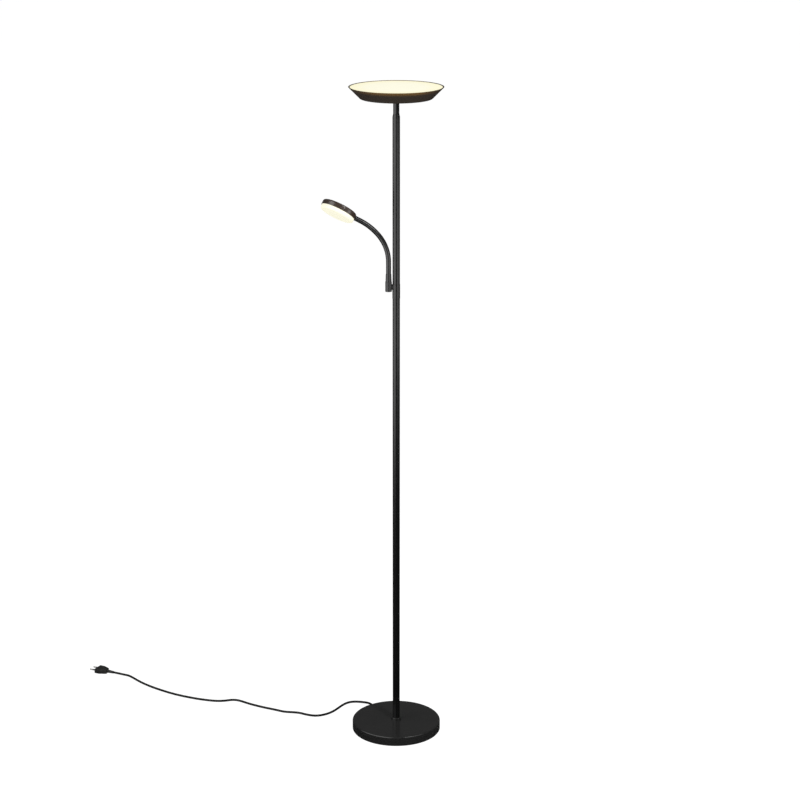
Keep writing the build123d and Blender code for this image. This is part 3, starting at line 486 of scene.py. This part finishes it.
def moulded(name, dark, light, sheen, cells=900.0, depth=0.00004, specular=0.5):
    """Moulded plastic or rubber."""
    material, tree, shader, position = start_material(name)
    inputs = {"Position": position, "Cells": cells}
    pattern = add_node(tree, "ShaderNodeGroup", inputs, node_tree=moulded_skin).outputs
    surface(tree, shader, pattern, dark, light, sheen, depth, specular)
    return material


def bare_metal(name, dark, light, sheen, lines=1200.0, depth=0.00002):
    """Bare or plated metal."""
    material, tree, shader, position = start_material(name)
    inputs = {"Position": position, "Lines": lines}
    pattern = add_node(tree, "ShaderNodeGroup", inputs, node_tree=drawn_metal).outputs
    surface(tree, shader, pattern, dark, light, sheen, depth, 0.5)
    shader.inputs["Metallic"].default_value = 1.0
    return material


def printed_board(name, dark, light, sheen, tracks):
    """Lacquered circuit board."""
    material, tree, shader, position = start_material(name)
    inputs = {"Position": position, "Tracks": tracks}
    pattern = add_node(tree, "ShaderNodeGroup", inputs, node_tree=board_tracks).outputs
    surface(tree, shader, pattern, dark, light, sheen, 0.00004, 0.5)
    return material


def glowing_opal(name, middle_point, reach, middle, rim):
    """Opal plastic lit from behind: even in the middle and a little warmer towards its rim."""
    material, tree, shader, position = start_material(name)
    inputs = {"Position": position, "Cells": 1300.0}
    pattern = add_node(tree, "ShaderNodeGroup", inputs, node_tree=moulded_skin).outputs
    dark, light = (0.19, 0.19, 0.18, 1.0), (0.21, 0.205, 0.195, 1.0)
    surface(tree, shader, pattern, dark, light, (0.4, 0.52), 0.00001, 0.3)
    centred = add_node(tree, "ShaderNodeMapping", {"Vector": position, "Location": -middle_point})
    distance = add_node(tree, "ShaderNodeVectorMath", {0: centred.outputs[0]}, operation="LENGTH")
    rimward = ramp(tree, distance.outputs["Value"], opal_even_share * reach, reach)
    cloud = noise(tree, position, 26.0, 2.0)
    mask = weigh(tree, rimward, 0.9, cloud)
    tree.links.new(tint(tree, mask, middle, rim), shader.inputs["Emission Color"])
    shader.inputs["Emission Strength"].default_value = opal_glow
    return material


def light_chip():
    """Yellow phosphor of the light chips."""
    material, tree, shader, position = start_material("light_chip")
    inputs = {"Position": position, "Cells": 2600.0}
    pattern = add_node(tree, "ShaderNodeGroup", inputs, node_tree=moulded_skin).outputs
    dark, light = (0.80, 0.58, 0.10, 1.0), (0.88, 0.70, 0.22, 1.0)
    colour = surface(tree, shader, pattern, dark, light, (0.25, 0.4), 0.00002, 0.5)
    tree.links.new(colour, shader.inputs["Emission Color"])
    shader.inputs["Emission Strength"].default_value = chip_glow
    return material


def bowl_paint_and_lip_glow():
    """The bowl's black paint, with a painted warm glow under its lip where the light spills over it."""
    dark, light = (0.0186, 0.0140, 0.0104, 1.0), (0.0234, 0.0176, 0.0130, 1.0)
    material = painted("bowl_paint_and_lip_glow", dark, light, (0.42, 0.52), specular=0.3)
    tree = material.node_tree
    shader = tree.nodes["Principled BSDF"]
    colour = shader.inputs["Base Color"].links[0].from_socket
    position = add_node(tree, "ShaderNodeTexCoord").outputs["Object"]
    place = add_node(tree, "ShaderNodeSeparateXYZ", {0: position}).outputs
    # Painted light: warm brown glow just under the lip, strongest front and back, fading towards the sides
    lip = ramp(tree, place["Z"], bowl_top - lip_glow_depth, bowl_top)
    sideways = add_node(tree, "ShaderNodeMath", {0: place["X"]}, operation="ABSOLUTE").outputs[0]
    middle = ramp(tree, sideways, lip_glow_middle, lip_glow_end, 1.0, lip_glow_least)
    painted_lip_glow = calculate(tree, "MULTIPLY", lip, middle)
    tree.links.new(tint(tree, painted_lip_glow, colour, lip_glow_colour), shader.inputs["Base Color"])
    return material


def pin_plate():
    """Plated pins with a dark sleeve over the half next to the plug."""
    material, tree, shader, position = start_material("pin_plate")
    inputs = {"Position": position, "Lines": 1500.0}
    pattern = add_node(tree, "ShaderNodeGroup", inputs, node_tree=drawn_metal).outputs
    dark, light = (0.58, 0.57, 0.54, 1.0), (0.74, 0.73, 0.70, 1.0)
    plate = surface(tree, shader, pattern, dark, light, (0.2, 0.34), 0.00001, 0.5)
    heading = (math.cos(plug_heading), math.sin(plug_heading), 0.0)
    reach = add_node(tree, "ShaderNodeVectorMath", {0: position, 1: heading}, operation="DOT_PRODUCT")
    sleeve_end = plug_end.dot(Vector(heading)) + plug_rear + plug_length + pin_length / 2
    bare = ramp(tree, reach.outputs["Value"], sleeve_end - pin_sleeve_edge, sleeve_end + pin_sleeve_edge)
    tree.links.new(tint(tree, bare, pin_sleeve, plate), shader.inputs["Base Color"])
    tree.links.new(bare, shader.inputs["Metallic"])
    return material


# Places of the reading light and of the plug
reading_axis = Vector(joints["reading_turn"]["axis"])
reading_axis.normalize()
reading_foot = Vector(joints["reading_turn"]["pos_m"])
viewward = Vector((0.0, -1.0, 0.0))
reading_down = viewward.cross(reading_axis) * math.cos(reading_roll) + viewward * math.sin(reading_roll)
reading_middle = reading_foot + reading_axis * (reading_radius + reading_gap)
reading_back = reading_middle - reading_down * reading_turn_height
reading_place = seat(reading_back, -reading_axis, reading_down)
plug_end = Vector(cord_route[-1])

# Finishes: name, dark tone, light tone and range of roughness
pole_paint = painted("pole_paint", (0.0015, 0.0015, 0.0015, 1.0), (0.0022, 0.0022, 0.0021, 1.0), (0.27, 0.34))
base_paint = painted(
    "base_paint",
    (0.0094, 0.0094, 0.0094, 1.0),
    (0.0118, 0.0118, 0.0116, 1.0),
    (0.15, 0.20),
    depth=0.00001,
    dust=0.02,
)
arm_paint = painted("arm_paint", (0.0075, 0.0075, 0.0075, 1.0), (0.0105, 0.0105, 0.0102, 1.0), (0.30, 0.38))
gloss_paint = painted(
    "gloss_paint",
    (0.004, 0.004, 0.004, 1.0),
    (0.006, 0.006, 0.006, 1.0),
    (0.08, 0.12),
    depth=0.00001,
)
case_paint = painted(
    "case_paint",
    (0.0200, 0.0130, 0.0090, 1.0),
    (0.0256, 0.0166, 0.0116, 1.0),
    (0.24, 0.30),
    depth=0.000015,
    specular=1.0,
)
neck_skin = moulded(
    "neck_skin",
    (0.004, 0.004, 0.004, 1.0),
    (0.0058, 0.0058, 0.0056, 1.0),
    (0.18, 0.25),
    cells=1500.0,
    depth=0.00002,
    specular=0.55,
)
cord_skin = moulded(
    "cord_skin",
    (0.004, 0.004, 0.004, 1.0),
    (0.0064, 0.0064, 0.0063, 1.0),
    (0.46, 0.58),
    cells=1100.0,
    specular=0.25,
)
plug_skin = moulded("plug_skin", (0.009, 0.009, 0.009, 1.0), (0.014, 0.014, 0.0135, 1.0), (0.46, 0.6), 1300.0)
pad_foam = moulded(
    "pad_foam",
    (0.02, 0.02, 0.02, 1.0),
    (0.035, 0.034, 0.033, 1.0),
    (0.85, 0.97),
    cells=520.0,
    depth=0.00025,
    specular=0.2,
)
driver_skin = moulded("driver_skin", (0.62, 0.61, 0.58, 1.0), (0.70, 0.69, 0.66, 1.0), (0.42, 0.54), 1000.0)
white_skin = moulded("white_skin", (0.66, 0.65, 0.62, 1.0), (0.74, 0.73, 0.70, 1.0), (0.35, 0.48), 1000.0)
lead_skin = moulded("lead_skin", (0.60, 0.60, 0.58, 1.0), (0.68, 0.68, 0.66, 1.0), (0.38, 0.5), 1200.0)
winding_tape = moulded("winding_tape", (0.52, 0.36, 0.05, 1.0), (0.62, 0.46, 0.10, 1.0), (0.25, 0.4), 700.0)
weight_iron = bare_metal(
    "weight_iron",
    (0.11, 0.105, 0.10, 1.0),
    (0.20, 0.19, 0.18, 1.0),
    (0.55, 0.75),
    lines=500.0,
    depth=0.0001,
)
zinc_steel = bare_metal("zinc_steel", (0.50, 0.51, 0.52, 1.0), (0.64, 0.65, 0.66, 1.0), (0.28, 0.45))
aluminium = bare_metal("aluminium", (0.68, 0.68, 0.69, 1.0), (0.80, 0.80, 0.81, 1.0), (0.28, 0.42), 1600.0)
white_board = printed_board(
    "white_board",
    (0.70, 0.70, 0.68, 1.0),
    (0.80, 0.80, 0.79, 1.0),
    (0.3, 0.45),
    tracks=90.0,
)
green_board = printed_board(
    "green_board",
    (0.015, 0.085, 0.030, 1.0),
    (0.035, 0.15, 0.055, 1.0),
    (0.3, 0.45),
    tracks=160.0,
)
# Bowl paint with a painted warm glow under its lip
bowl_coat_and_lip_glow = bowl_paint_and_lip_glow()
chip = light_chip()
pins = pin_plate()
bowl_glow = glowing_opal(
    "bowl_glow",
    Vector((0.0, 0.0, face_top)),
    bowl_rim_radius,
    (0.79, 0.765, 0.60, 1.0),
    (0.79, 0.75, 0.48, 1.0),
)
reading_glow = glowing_opal(
    "reading_glow",
    reading_back + reading_down * reading_face_top,
    reading_radius,
    (0.75, 0.725, 0.55, 1.0),
    (0.75, 0.72, 0.53, 1.0),
)


def make_base():
    """Pressed cover of the base, with its wall turned down to the floor plate."""
    inside = base_radius - base_wall
    underside = base_top - base_wall
    outline = (
        (base_hole, base_top),
        (base_radius, base_top),
        (base_radius, base_bottom),
        (inside, base_bottom),
        (inside, underside),
        (base_hole, underside),
    )
    rounds = {1: base_edge, 2: base_wall / 4, 3: base_wall / 4, 4: base_edge - base_wall}
    shape = turned(outline, rounds, steps=large_round)
    make_piece(shape, "base_shell", base_paint, ["base_cover"])


def make_foot():
    """Collar at the pole's foot."""
    outline = (
        (foot_bore, base_top),
        (foot_radius, base_top),
        (foot_radius, foot_top),
        (foot_bore, foot_top),
    )
    shape = turned(outline, {2: foot_edge, 3: pole_edge})
    make_piece(shape, "foot_collar", base_paint, ["foot_ring"])


def make_tube(name, bottom, top, replaced):
    """One length of the pole."""
    outline = ((pole_bore, bottom), (pole_radius, bottom), (pole_radius, top), (pole_bore, top))
    shape = turned(outline, {1: pole_edge, 2: pole_edge})
    make_piece(shape, name, pole_paint, [replaced])


def make_connector():
    """Thicker length of pole that carries the arm."""
    outline = (
        (connector_bore, connector_bottom),
        (connector_radius, connector_bottom),
        (connector_radius, connector_top),
        (connector_bore, connector_top),
    )
    shape = turned(outline, {1: connector_edge, 2: connector_edge})
    make_piece(shape, "pole_connector", pole_paint, ["arm_connector"])


def make_shoulder():
    """Sloped shoulder on the pole's top end."""
    inside = stem_radius
    outline = (
        (inside, shoulder_bottom),
        (pole_radius, shoulder_bottom),
        (pole_radius, shoulder_top - shoulder_taper),
        (pole_radius - shoulder_slope, shoulder_top),
        (inside, shoulder_top),
    )
    shape = turned(outline, {3: shoulder_soft})
    make_piece(shape, "pole_shoulder", pole_paint, ["pole_top_bush"])


def make_stem():
    """Slim glossy tube between the pole and the bowl."""
    outline = (
        (stem_bore, stem_bottom),
        (stem_radius, stem_bottom),
        (stem_radius, bowl_bottom),
        (stem_bore, bowl_bottom),
    )
    shape = turned(outline, {1: pole_edge, 2: pole_edge})
    make_piece(shape, "bowl_stem", gloss_paint, ["stem_tube"])


def make_bowl():
    """Shallow bowl with a flat floor, sloped walls and a soft lip, and the opal face set into it."""
    slope = (bowl_rim_radius - bowl_floor_radius) / (bowl_top - bowl_bottom)
    wall_across = bowl_wall * math.hypot(1.0, slope)
    floor_top = bowl_bottom + bowl_wall
    inside_floor = bowl_rim_radius - (bowl_top - floor_top) * slope - wall_across
    lip_under = bowl_top - bowl_lip_height
    outline = (
        (bowl_hole, bowl_bottom),
        (bowl_floor_radius, bowl_bottom),
        (bowl_rim_radius, bowl_top),
        (bowl_rim_radius - bowl_lip_width, bowl_top),
        (bowl_rim_radius - bowl_lip_width, lip_under),
        (bowl_rim_radius - bowl_lip_height * slope - wall_across, lip_under),
        (inside_floor, floor_top),
        (bowl_hole, floor_top),
    )
    rounds = {1: bowl_floor_edge, 2: bowl_lip_edge, 3: bowl_lip_edge, 6: bowl_floor_edge}
    shape = turned(outline, rounds, steps=large_round)
    make_piece(shape, "bowl", bowl_coat_and_lip_glow, ["head_bowl"])
    mouth = bowl_rim_radius - wall_across - face_gap
    outline = (
        (0.0, face_bottom),
        (mouth - (bowl_top - face_bottom) * slope, face_bottom),
        (mouth - (bowl_top - face_top) * slope, face_top),
        (0.0, face_top),
    )
    shape = turned(outline, {2: face_edge}, closed=False, steps=large_round)
    make_piece(shape, "bowl_face", bowl_glow, ["head_diffuser"])


def make_arm():
    """Upright socket beside the pole, and the ferrule that holds the neck's foot."""
    place = Matrix.Translation((arm_offset, 0.0, 0.0))
    socket_bottom = holder_top - holder_socket_depth
    outline = (
        (0.0, holder_bottom),
        (holder_radius, holder_bottom),
        (holder_radius, holder_top),
        (holder_socket, holder_top),
        (holder_socket, socket_bottom),
        (0.0, socket_bottom),
    )
    shape = turned(outline, {1: holder_edge, 2: holder_edge}, closed=False)
    make_piece(shape, "neck_socket", arm_paint, ["arm_holder"], place=place)
    socket_bottom = ferrule_top - ferrule_socket_depth
    outline = (
        (ferrule_bore, holder_top),
        (ferrule_radius + ferrule_flare, holder_top),
        (ferrule_radius, ferrule_top),
        (ferrule_socket, ferrule_top),
        (ferrule_socket, socket_bottom),
        (ferrule_bore, socket_bottom),
    )
    shape = turned(outline, {2: ferrule_edge})
    make_piece(shape, "neck_collar", gloss_paint, ["neck_ferrule"], place=place)


# Stretches of the neck's middle line: length, and bend radius where it bends
neck_stretches = (
    (neck_rise, None),
    (neck_lower_radius * neck_lower_turn, neck_lower_radius),
    (neck_upper_radius * neck_upper_turn, neck_upper_radius),
    (neck_tail, None),
)
neck_marks = [sum(length for length, _ in neck_stretches[:count]) for count in range(len(neck_stretches) + 1)]
neck_length = neck_marks[-1]
lean_axis = Vector((0.0, -1.0, 0.0))


def neck_at(along):
    """Point on the neck's middle line at a distance from the ferrule, and its lean from upright."""
    point, lean = Vector((arm_offset, 0.0, ferrule_top)), 0.0
    for (length, radius), mark in zip(neck_stretches, neck_marks):
        step = min(along - mark, length)
        if step <= 0 < mark:
            break
        tangent = Vector((-math.sin(lean), 0.0, math.cos(lean)))
        if radius is None:
            point = point + tangent * step
            continue
        inward = Vector((-math.cos(lean), 0.0, -math.sin(lean)))
        centre = point + inward * radius
        point = centre + Matrix.Rotation(step / radius, 3, lean_axis) @ (point - centre)
        lean += step / radius
    return point, lean


def neck_tube(start, end):
    """An open tube carried along the neck's middle line, and its last ring."""
    point, lean = neck_at(start)
    shape = bmesh.new()
    place = Matrix.Translation(point) @ Matrix.Rotation(lean, 4, lean_axis)
    bmesh.ops.create_circle(shape, cap_ends=True, radius=neck_radius, segments=small_round, matrix=place)
    ring = shape.edges[:]
    stops = [start, *[mark for mark in neck_marks[1:-1] if start < mark < end], end]
    for first, last in zip(stops, stops[1:]):
        point, lean = neck_at(first)
        middle = (first + last) / 2
        radius = next(
            radius for (_, radius), mark in zip(reversed(neck_stretches), reversed(neck_marks[:-1]))
            if middle >= mark or mark == 0
        )
        steps = max(1, round((last - first) / neck_step))
        grow = {"cent": point, "axis": lean_axis, "angle": 0.0, "dvec": (neck_at(last)[0] - point) / steps}
        if radius is not None:
            inward = Vector((-math.cos(lean), 0.0, -math.sin(lean)))
            grow = {"cent": point + inward * radius, "axis": lean_axis, "angle": (last - first) / radius}
        corners = list({vert for edge in ring for vert in edge.verts})
        grown = bmesh.ops.spin(shape, geom=corners + ring, steps=steps, use_merge=False, **grow)
        ring = [item for item in grown["geom_last"] if isinstance(item, bmesh.types.BMEdge)]
    return shape, ring


def widen(shape, ring, radius, onward):
    """Carries a ring on to another radius and along onward; gives the new ring."""
    grown = bmesh.ops.extrude_edge_only(shape, edges=ring)["geom"]
    corners = [item for item in grown if isinstance(item, bmesh.types.BMVert)]
    middle = sum((vert.co for vert in corners), Vector()) / len(corners)
    share = radius / (corners[0].co - middle).length
    bmesh.ops.scale(shape, verts=corners, vec=(share,) * 3, space=Matrix.Translation(-middle))
    bmesh.ops.translate(shape, verts=corners, vec=onward)
    return [item for item in grown if isinstance(item, bmesh.types.BMEdge)]


def make_neck():
    """The flexible tube as five sleeves that meet half-way between the neck's joints."""
    middles = [(first + last) / 2 for first, last in zip(neck_joints_at, neck_joints_at[1:])]
    cuts = [-neck_foot_depth, *middles, neck_length]
    names = ("neck_sway", "neck_bend_1", "neck_bend_2", "neck_bend_3", "neck_bend_4")
    replaced = (["neck_foot"], ["neck_link_1"], ["neck_link_2"], ["neck_link_3"], ["neck_link_4", "neck_end"])
    for number, (name, hidden, start, end) in enumerate(zip(names, replaced, cuts, cuts[1:])):
        shape, ring = neck_tube(start, end)
        outward = neck_at(end)[1]
        onward = Vector((-math.sin(outward), 0.0, math.cos(outward)))
        if end == neck_length:
            ring = widen(shape, ring, spigot_radius, Vector())
            ring = widen(shape, ring, spigot_radius, onward * spigot_length)
        bmesh.ops.edgeloop_fill(shape, edges=ring)
        bmesh.ops.recalc_face_normals(shape, faces=shape.faces)
        piece = make_piece(shape, f"neck_sleeve_{number + 1}", neck_skin, hidden, body=None)
        reach = min(neck_joints_at[number] - max(start, 0.0), end - neck_joints_at[number])
        first = neck_at(neck_joints_at[number] - reach)[0]
        last = neck_at(neck_joints_at[number] + reach)[0]
        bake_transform(piece)


def make_reading_light():
    """Flat round casing, open towards its face, with the opal face standing proud of it."""
    outline = (
        (0.0, 0.0),
        (reading_radius, 0.0),
        (reading_radius, reading_height),
        (reading_radius - reading_wall, reading_height),
        (reading_radius - reading_wall, reading_ledge),
        (reading_ledge_radius, reading_ledge),
        (reading_ledge_radius, reading_wall),
        (0.0, reading_wall),
    )
    rounds = {1: reading_back_edge, 2: reading_mouth_edge, 3: reading_mouth_edge}
    shape = turned(outline, rounds, closed=False, steps=large_round)
    make_piece(
        shape, "reading_shell", case_paint, ["reading_casing"], "reading_head", reading_place
    )
    inside = reading_face_radius - reading_face_wall
    outline = (
        (0.0, reading_face_top),
        (reading_face_radius, reading_face_top),
        (reading_face_radius, reading_ledge),
        (inside, reading_ledge),
        (inside, reading_face_top - reading_face_wall),
        (0.0, reading_face_top - reading_face_wall),
    )
    rounds = {1: reading_face_edge, 4: reading_face_edge - reading_face_wall}
    shape = turned(outline, rounds, closed=False, steps=large_round)
    make_piece(
        shape, "reading_face", reading_glow, ["reading_diffuser"], "reading_head", reading_place
    )


def ribbed_boot(start, start_radius, end, end_radius):
    """Corners along a tapered boot with ring grooves, from its thick end to its thin end."""
    groove_count = 5
    end_share = 0.5
    first_share = 0.55
    pitch = (end - start) / (groove_count + end_share)
    groove_width = 0.4 * pitch
    groove_depth = 0.0007
    groove_slope = 0.1 * pitch
    taper = (end_radius - start_radius) / (end - start)
    corners = [(start_radius, start)]
    for groove in range(groove_count):
        top = start + pitch * (groove + first_share)
        bottom = top + groove_width
        corners.append((start_radius + taper * (top - start), top))
        corners.append((start_radius + taper * (top - start) - groove_depth, top + groove_slope))
        corners.append((start_radius + taper * (bottom - start) - groove_depth, bottom - groove_slope))
        corners.append((start_radius + taper * (bottom - start), bottom))
    return [*corners, (end_radius, end)]


def make_grip():
    """Rubber grip of the lead: a flange on the base's wall and a ribbed, tapered boot."""
    heading = Vector((math.cos(grip_heading), math.sin(grip_heading), 0.0))
    place = seat(heading * base_radius + Vector((0.0, 0.0, grip_level)), Vector((0.0, 0.0, 1.0)), heading)
    boot_end = grip_flange + grip_boot_length
    outline = [
        (0.0, -grip_neck_length),
        (grip_neck_radius, -grip_neck_length),
        (grip_neck_radius, 0.0),
        (grip_flange_radius, 0.0),
        (grip_flange_radius, grip_flange),
        *ribbed_boot(grip_flange, grip_boot_radius, boot_end, grip_boot_end_radius),
        (0.0, boot_end),
    ]
    rounds = {4: grip_flange_edge, len(outline) - 2: grip_tip_edge}
    shape = turned(outline, rounds, closed=False, steps=small_round)
    make_piece(shape, "lead_grip", cord_skin, ["cord_grip"], place=place)


def make_plug():
    """Flat moulded plug: a tapered body with a sunk panel on both sides, and a ribbed boot."""
    heading = Vector((math.cos(plug_heading), math.sin(plug_heading), 0.0))
    place = seat(plug_end, heading, Vector((0.0, 0.0, 1.0)))
    front = plug_rear + plug_length
    shoulder = front - plug_shoulder
    half = plug_thickness / 2
    outline = (
        (plug_rear, -plug_rear_half),
        (shoulder, -plug_front_half),
        (front, -plug_front_half),
        (front, plug_front_half),
        (shoulder, plug_front_half),
        (plug_rear, plug_rear_half),
    )
    shape = bmesh.new()
    under = shape.faces.new([shape.verts.new((along, across, -half)) for along, across in outline])
    lifted = bmesh.ops.extrude_face_region(shape, geom=[under])["geom"]
    raised = [item for item in lifted if isinstance(item, bmesh.types.BMVert)]
    bmesh.ops.translate(shape, verts=raised, vec=(0.0, 0.0, plug_thickness))
    upright = [edge for edge in shape.edges if abs(edge.verts[0].co.z - edge.verts[1].co.z) > half]
    bevel = {"offset_type": "OFFSET", "affect": "EDGES", "profile": 0.5, "material": -1}
    bmesh.ops.bevel(shape, geom=upright, offset=plug_corner, segments=bend_segments, **bevel)
    rims = [edge for edge in shape.edges if abs(edge.verts[0].co.z - edge.verts[1].co.z) < half / 2]
    bmesh.ops.bevel(shape, geom=rims, offset=plug_rim, segments=bend_segments, **bevel)
    bmesh.ops.recalc_face_normals(shape, faces=shape.faces)
    level_faces = [face for face in shape.faces if abs(face.normal.z) > level_normal]
    panels = [face for face in level_faces if face.calc_area() > panel_least_area]
    bmesh.ops.inset_individual(shape, faces=panels, thickness=panel_margin, depth=0.0)
    bmesh.ops.inset_individual(shape, faces=panels, thickness=panel_step, depth=-panel_step)
    make_piece(shape, "plug_shell", plug_skin, ["plug_body"], place=place)
    outline = [
        (0.0, plug_boot_length),
        *reversed(ribbed_boot(0.0, plug_boot_end_radius, plug_rear, plug_boot_radius)),
        (0.0, 0.0),
    ]
    shape = turned(outline, None, closed=False, steps=small_round)
    place = seat(plug_end, Vector((0.0, 0.0, 1.0)), heading)
    make_piece(shape, "plug_boot", plug_skin, place=place)


def make_cord():
    """Mains lead on the floor, one smooth line from its grip to its plug."""
    line = bpy.data.curves.new("mains_lead", "CURVE")
    line.dimensions = "3D"
    line.bevel_depth = cord_diameter / 2
    line.bevel_resolution = cord_facets
    line.resolution_u = cord_steps
    line.use_fill_caps = True
    run = line.splines.new("NURBS")
    run.points.add(len(cord_route) - 1)
    for point, place in zip(run.points, cord_route):
        point.co = (*place, 1.0)
    run.order_u = 3
    run.use_endpoint_u = True
    run.use_smooth = True
    line.materials.append(cord_skin)
    cord = bpy.data.objects.new("mains_lead", line)
    bpy.context.scene.collection.objects.link(cord)
    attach(cord, "stand")
    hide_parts("mains_cord")


def finish_nodes():
    """Finishes of the CAD nodes."""
    finishes = (
        (base_paint, ("base_cover", "foot_ring")),
        (pole_paint, ("pole_lower", "pole_middle", "pole_upper", "arm_connector", "pole_top_bush")),
        (arm_paint, ("arm_stub", "arm_holder")),
        (bowl_coat_and_lip_glow, ("head_bowl",)),
        (gloss_paint, ("stem_tube", "neck_ferrule")),
        (neck_skin, ("neck_foot", "neck_link_1", "neck_link_2", "neck_link_3", "neck_link_4", "neck_end")),
        (case_paint, ("reading_casing",)),
        (bowl_glow, ("head_diffuser",)),
        (reading_glow, ("reading_diffuser",)),
        (pad_foam, ("base_pad",)),
        (weight_iron, ("base_weight",)),
        (zinc_steel, ("base_plate", "plate_screws", "foot_nipple", "foot_washer", "foot_nut", "stem_nipple")),
        (zinc_steel, ("head_washer", "head_nut", "head_board_screws", "reading_screws", "neck_clip")),
        (aluminium, ("foot_plug", "pole_coupler", "stem_plug", "heat_spreader", "driver_capacitor")),
        (white_board, ("head_led_board", "reading_board")),
        (green_board, ("driver_board",)),
        (chip, ("head_leds", "reading_leds")),
        (driver_skin, ("driver_case", "driver_lid")),
        (winding_tape, ("driver_transformer",)),
        (white_skin, ("head_terminal", "cord_clamp")),
        (lead_skin, ("head_lead", "arm_lead")),
        (cord_skin, ("mains_cord", "mains_tail", "cord_grip")),
        (plug_skin, ("plug_body",)),
        (pins, ("plug_pins",)),
    )
    for finish, names in finishes:
        for name in names:
            nodes[name].material_slots[0].material = finish


def seen_and_mirrored(tree):
    """Masks of rays that look at a place directly, and of rays that see it mirrored in gloss."""
    path = add_node(tree, "ShaderNodeLightPath").outputs
    seen = calculate(tree, "MAXIMUM", path["Is Camera Ray"], path["Is Transmission Ray"])
    return seen, path["Is Glossy Ray"]


def make_floor():
    """Pale floor that reads as white and keeps the lamp's soft shadow."""
    shape = bmesh.new()
    bmesh.ops.create_grid(shape, x_segments=1, y_segments=1, size=floor_half)
    mesh = bpy.data.meshes.new("floor")
    shape.to_mesh(mesh)
    shape.free()
    material = bpy.data.materials.new("pale_floor")
    material.use_nodes = True
    tree = material.node_tree
    tree.nodes.clear()
    seen, mirrored = seen_and_mirrored(tree)
    lit = add_node(tree, "ShaderNodeBsdfDiffuse", {"Color": pale_floor}).outputs[0]
    dim = add_node(tree, "ShaderNodeEmission", {"Color": white, "Strength": floor_in_gloss}).outputs[0]
    unseen = add_node(tree, "ShaderNodeMixShader", {0: mirrored, 1: lit, 2: dim}).outputs[0]
    shade = add_node(tree, "ShaderNodeBsdfDiffuse", {"Color": floor_shade}).outputs[0]
    glow = add_node(tree, "ShaderNodeEmission", {"Color": white, "Strength": floor_fill}).outputs[0]
    bright = add_node(tree, "ShaderNodeAddShader", {0: shade, 1: glow}).outputs[0]
    mixed = add_node(tree, "ShaderNodeMixShader", {0: seen, 1: unseen, 2: bright}).outputs[0]
    add_node(tree, "ShaderNodeOutputMaterial", {"Surface": mixed})
    mesh.materials.append(material)
    floor = bpy.data.objects.new("floor", mesh)
    bpy.context.scene.collection.objects.link(floor)


def make_surroundings():
    """White surroundings, dimmer where they light the lamp or are mirrored in its paint."""
    world = bpy.data.worlds.new("studio")
    world.use_nodes = True
    tree = world.node_tree
    tree.nodes.clear()
    seen, mirrored = seen_and_mirrored(tree)
    unseen = add_node(tree, "ShaderNodeMix", {0: mirrored, 2: ambient_level, 3: ambient_in_gloss}).outputs[0]
    level = add_node(tree, "ShaderNodeMix", {0: seen, 2: unseen, 3: 1.0}).outputs[0]
    sky = add_node(tree, "ShaderNodeBackground", {"Color": white, "Strength": level}).outputs[0]
    add_node(tree, "ShaderNodeOutputWorld", {"Surface": sky})
    bpy.context.scene.world = world


def make_softbox(name, heading, distance, low, high, width, radiance, mirrored):
    """A soft lamp that faces the pole; its heading is counted from the camera's side towards +X."""
    lamp = bpy.data.lights.new(name, "AREA")
    lamp.shape = "RECTANGLE"
    lamp.size = width
    lamp.size_y = high - low
    lamp.energy = radiance * math.pi * width * (high - low)
    turn = math.radians(heading)
    softbox = bpy.data.objects.new(name, lamp)
    softbox.location = (math.sin(turn) * distance, -math.cos(turn) * distance, (low + high) / 2)
    softbox.rotation_euler = (math.pi / 2, 0.0, turn)
    softbox.visible_camera = False
    softbox.visible_glossy = mirrored
    bpy.context.scene.collection.objects.link(softbox)


def make_camera():
    """Camera at the height and distance of the picture."""
    eye = bpy.data.cameras.new("camera")
    eye.lens = camera_lens
    eye.sensor_width = camera_sensor
    eye.shift_x = camera_shift
    eye.clip_end = camera_reach
    camera = bpy.data.objects.new("camera", eye)
    camera.location = camera_place
    camera.rotation_euler = (camera_tilt, 0.0, 0.0)
    bpy.context.scene.collection.objects.link(camera)
    bpy.context.scene.camera = camera


# The lamp and its studio
make_base()
make_foot()
make_tube("pole_length_1", base_top, pole_seam, "pole_lower")
make_tube("pole_length_2", pole_seam, connector_bottom, "pole_middle")
make_tube("pole_length_3", connector_top, shoulder_bottom, "pole_upper")
make_connector()
make_shoulder()
make_stem()
make_bowl()
make_arm()
make_neck()
make_reading_light()
make_grip()
make_plug()
make_cord()
finish_nodes()
make_floor()
make_surroundings()
for softbox in softboxes:
    make_softbox(*softbox)
make_camera()
bpy.context.scene.view_settings.view_transform = "Standard"
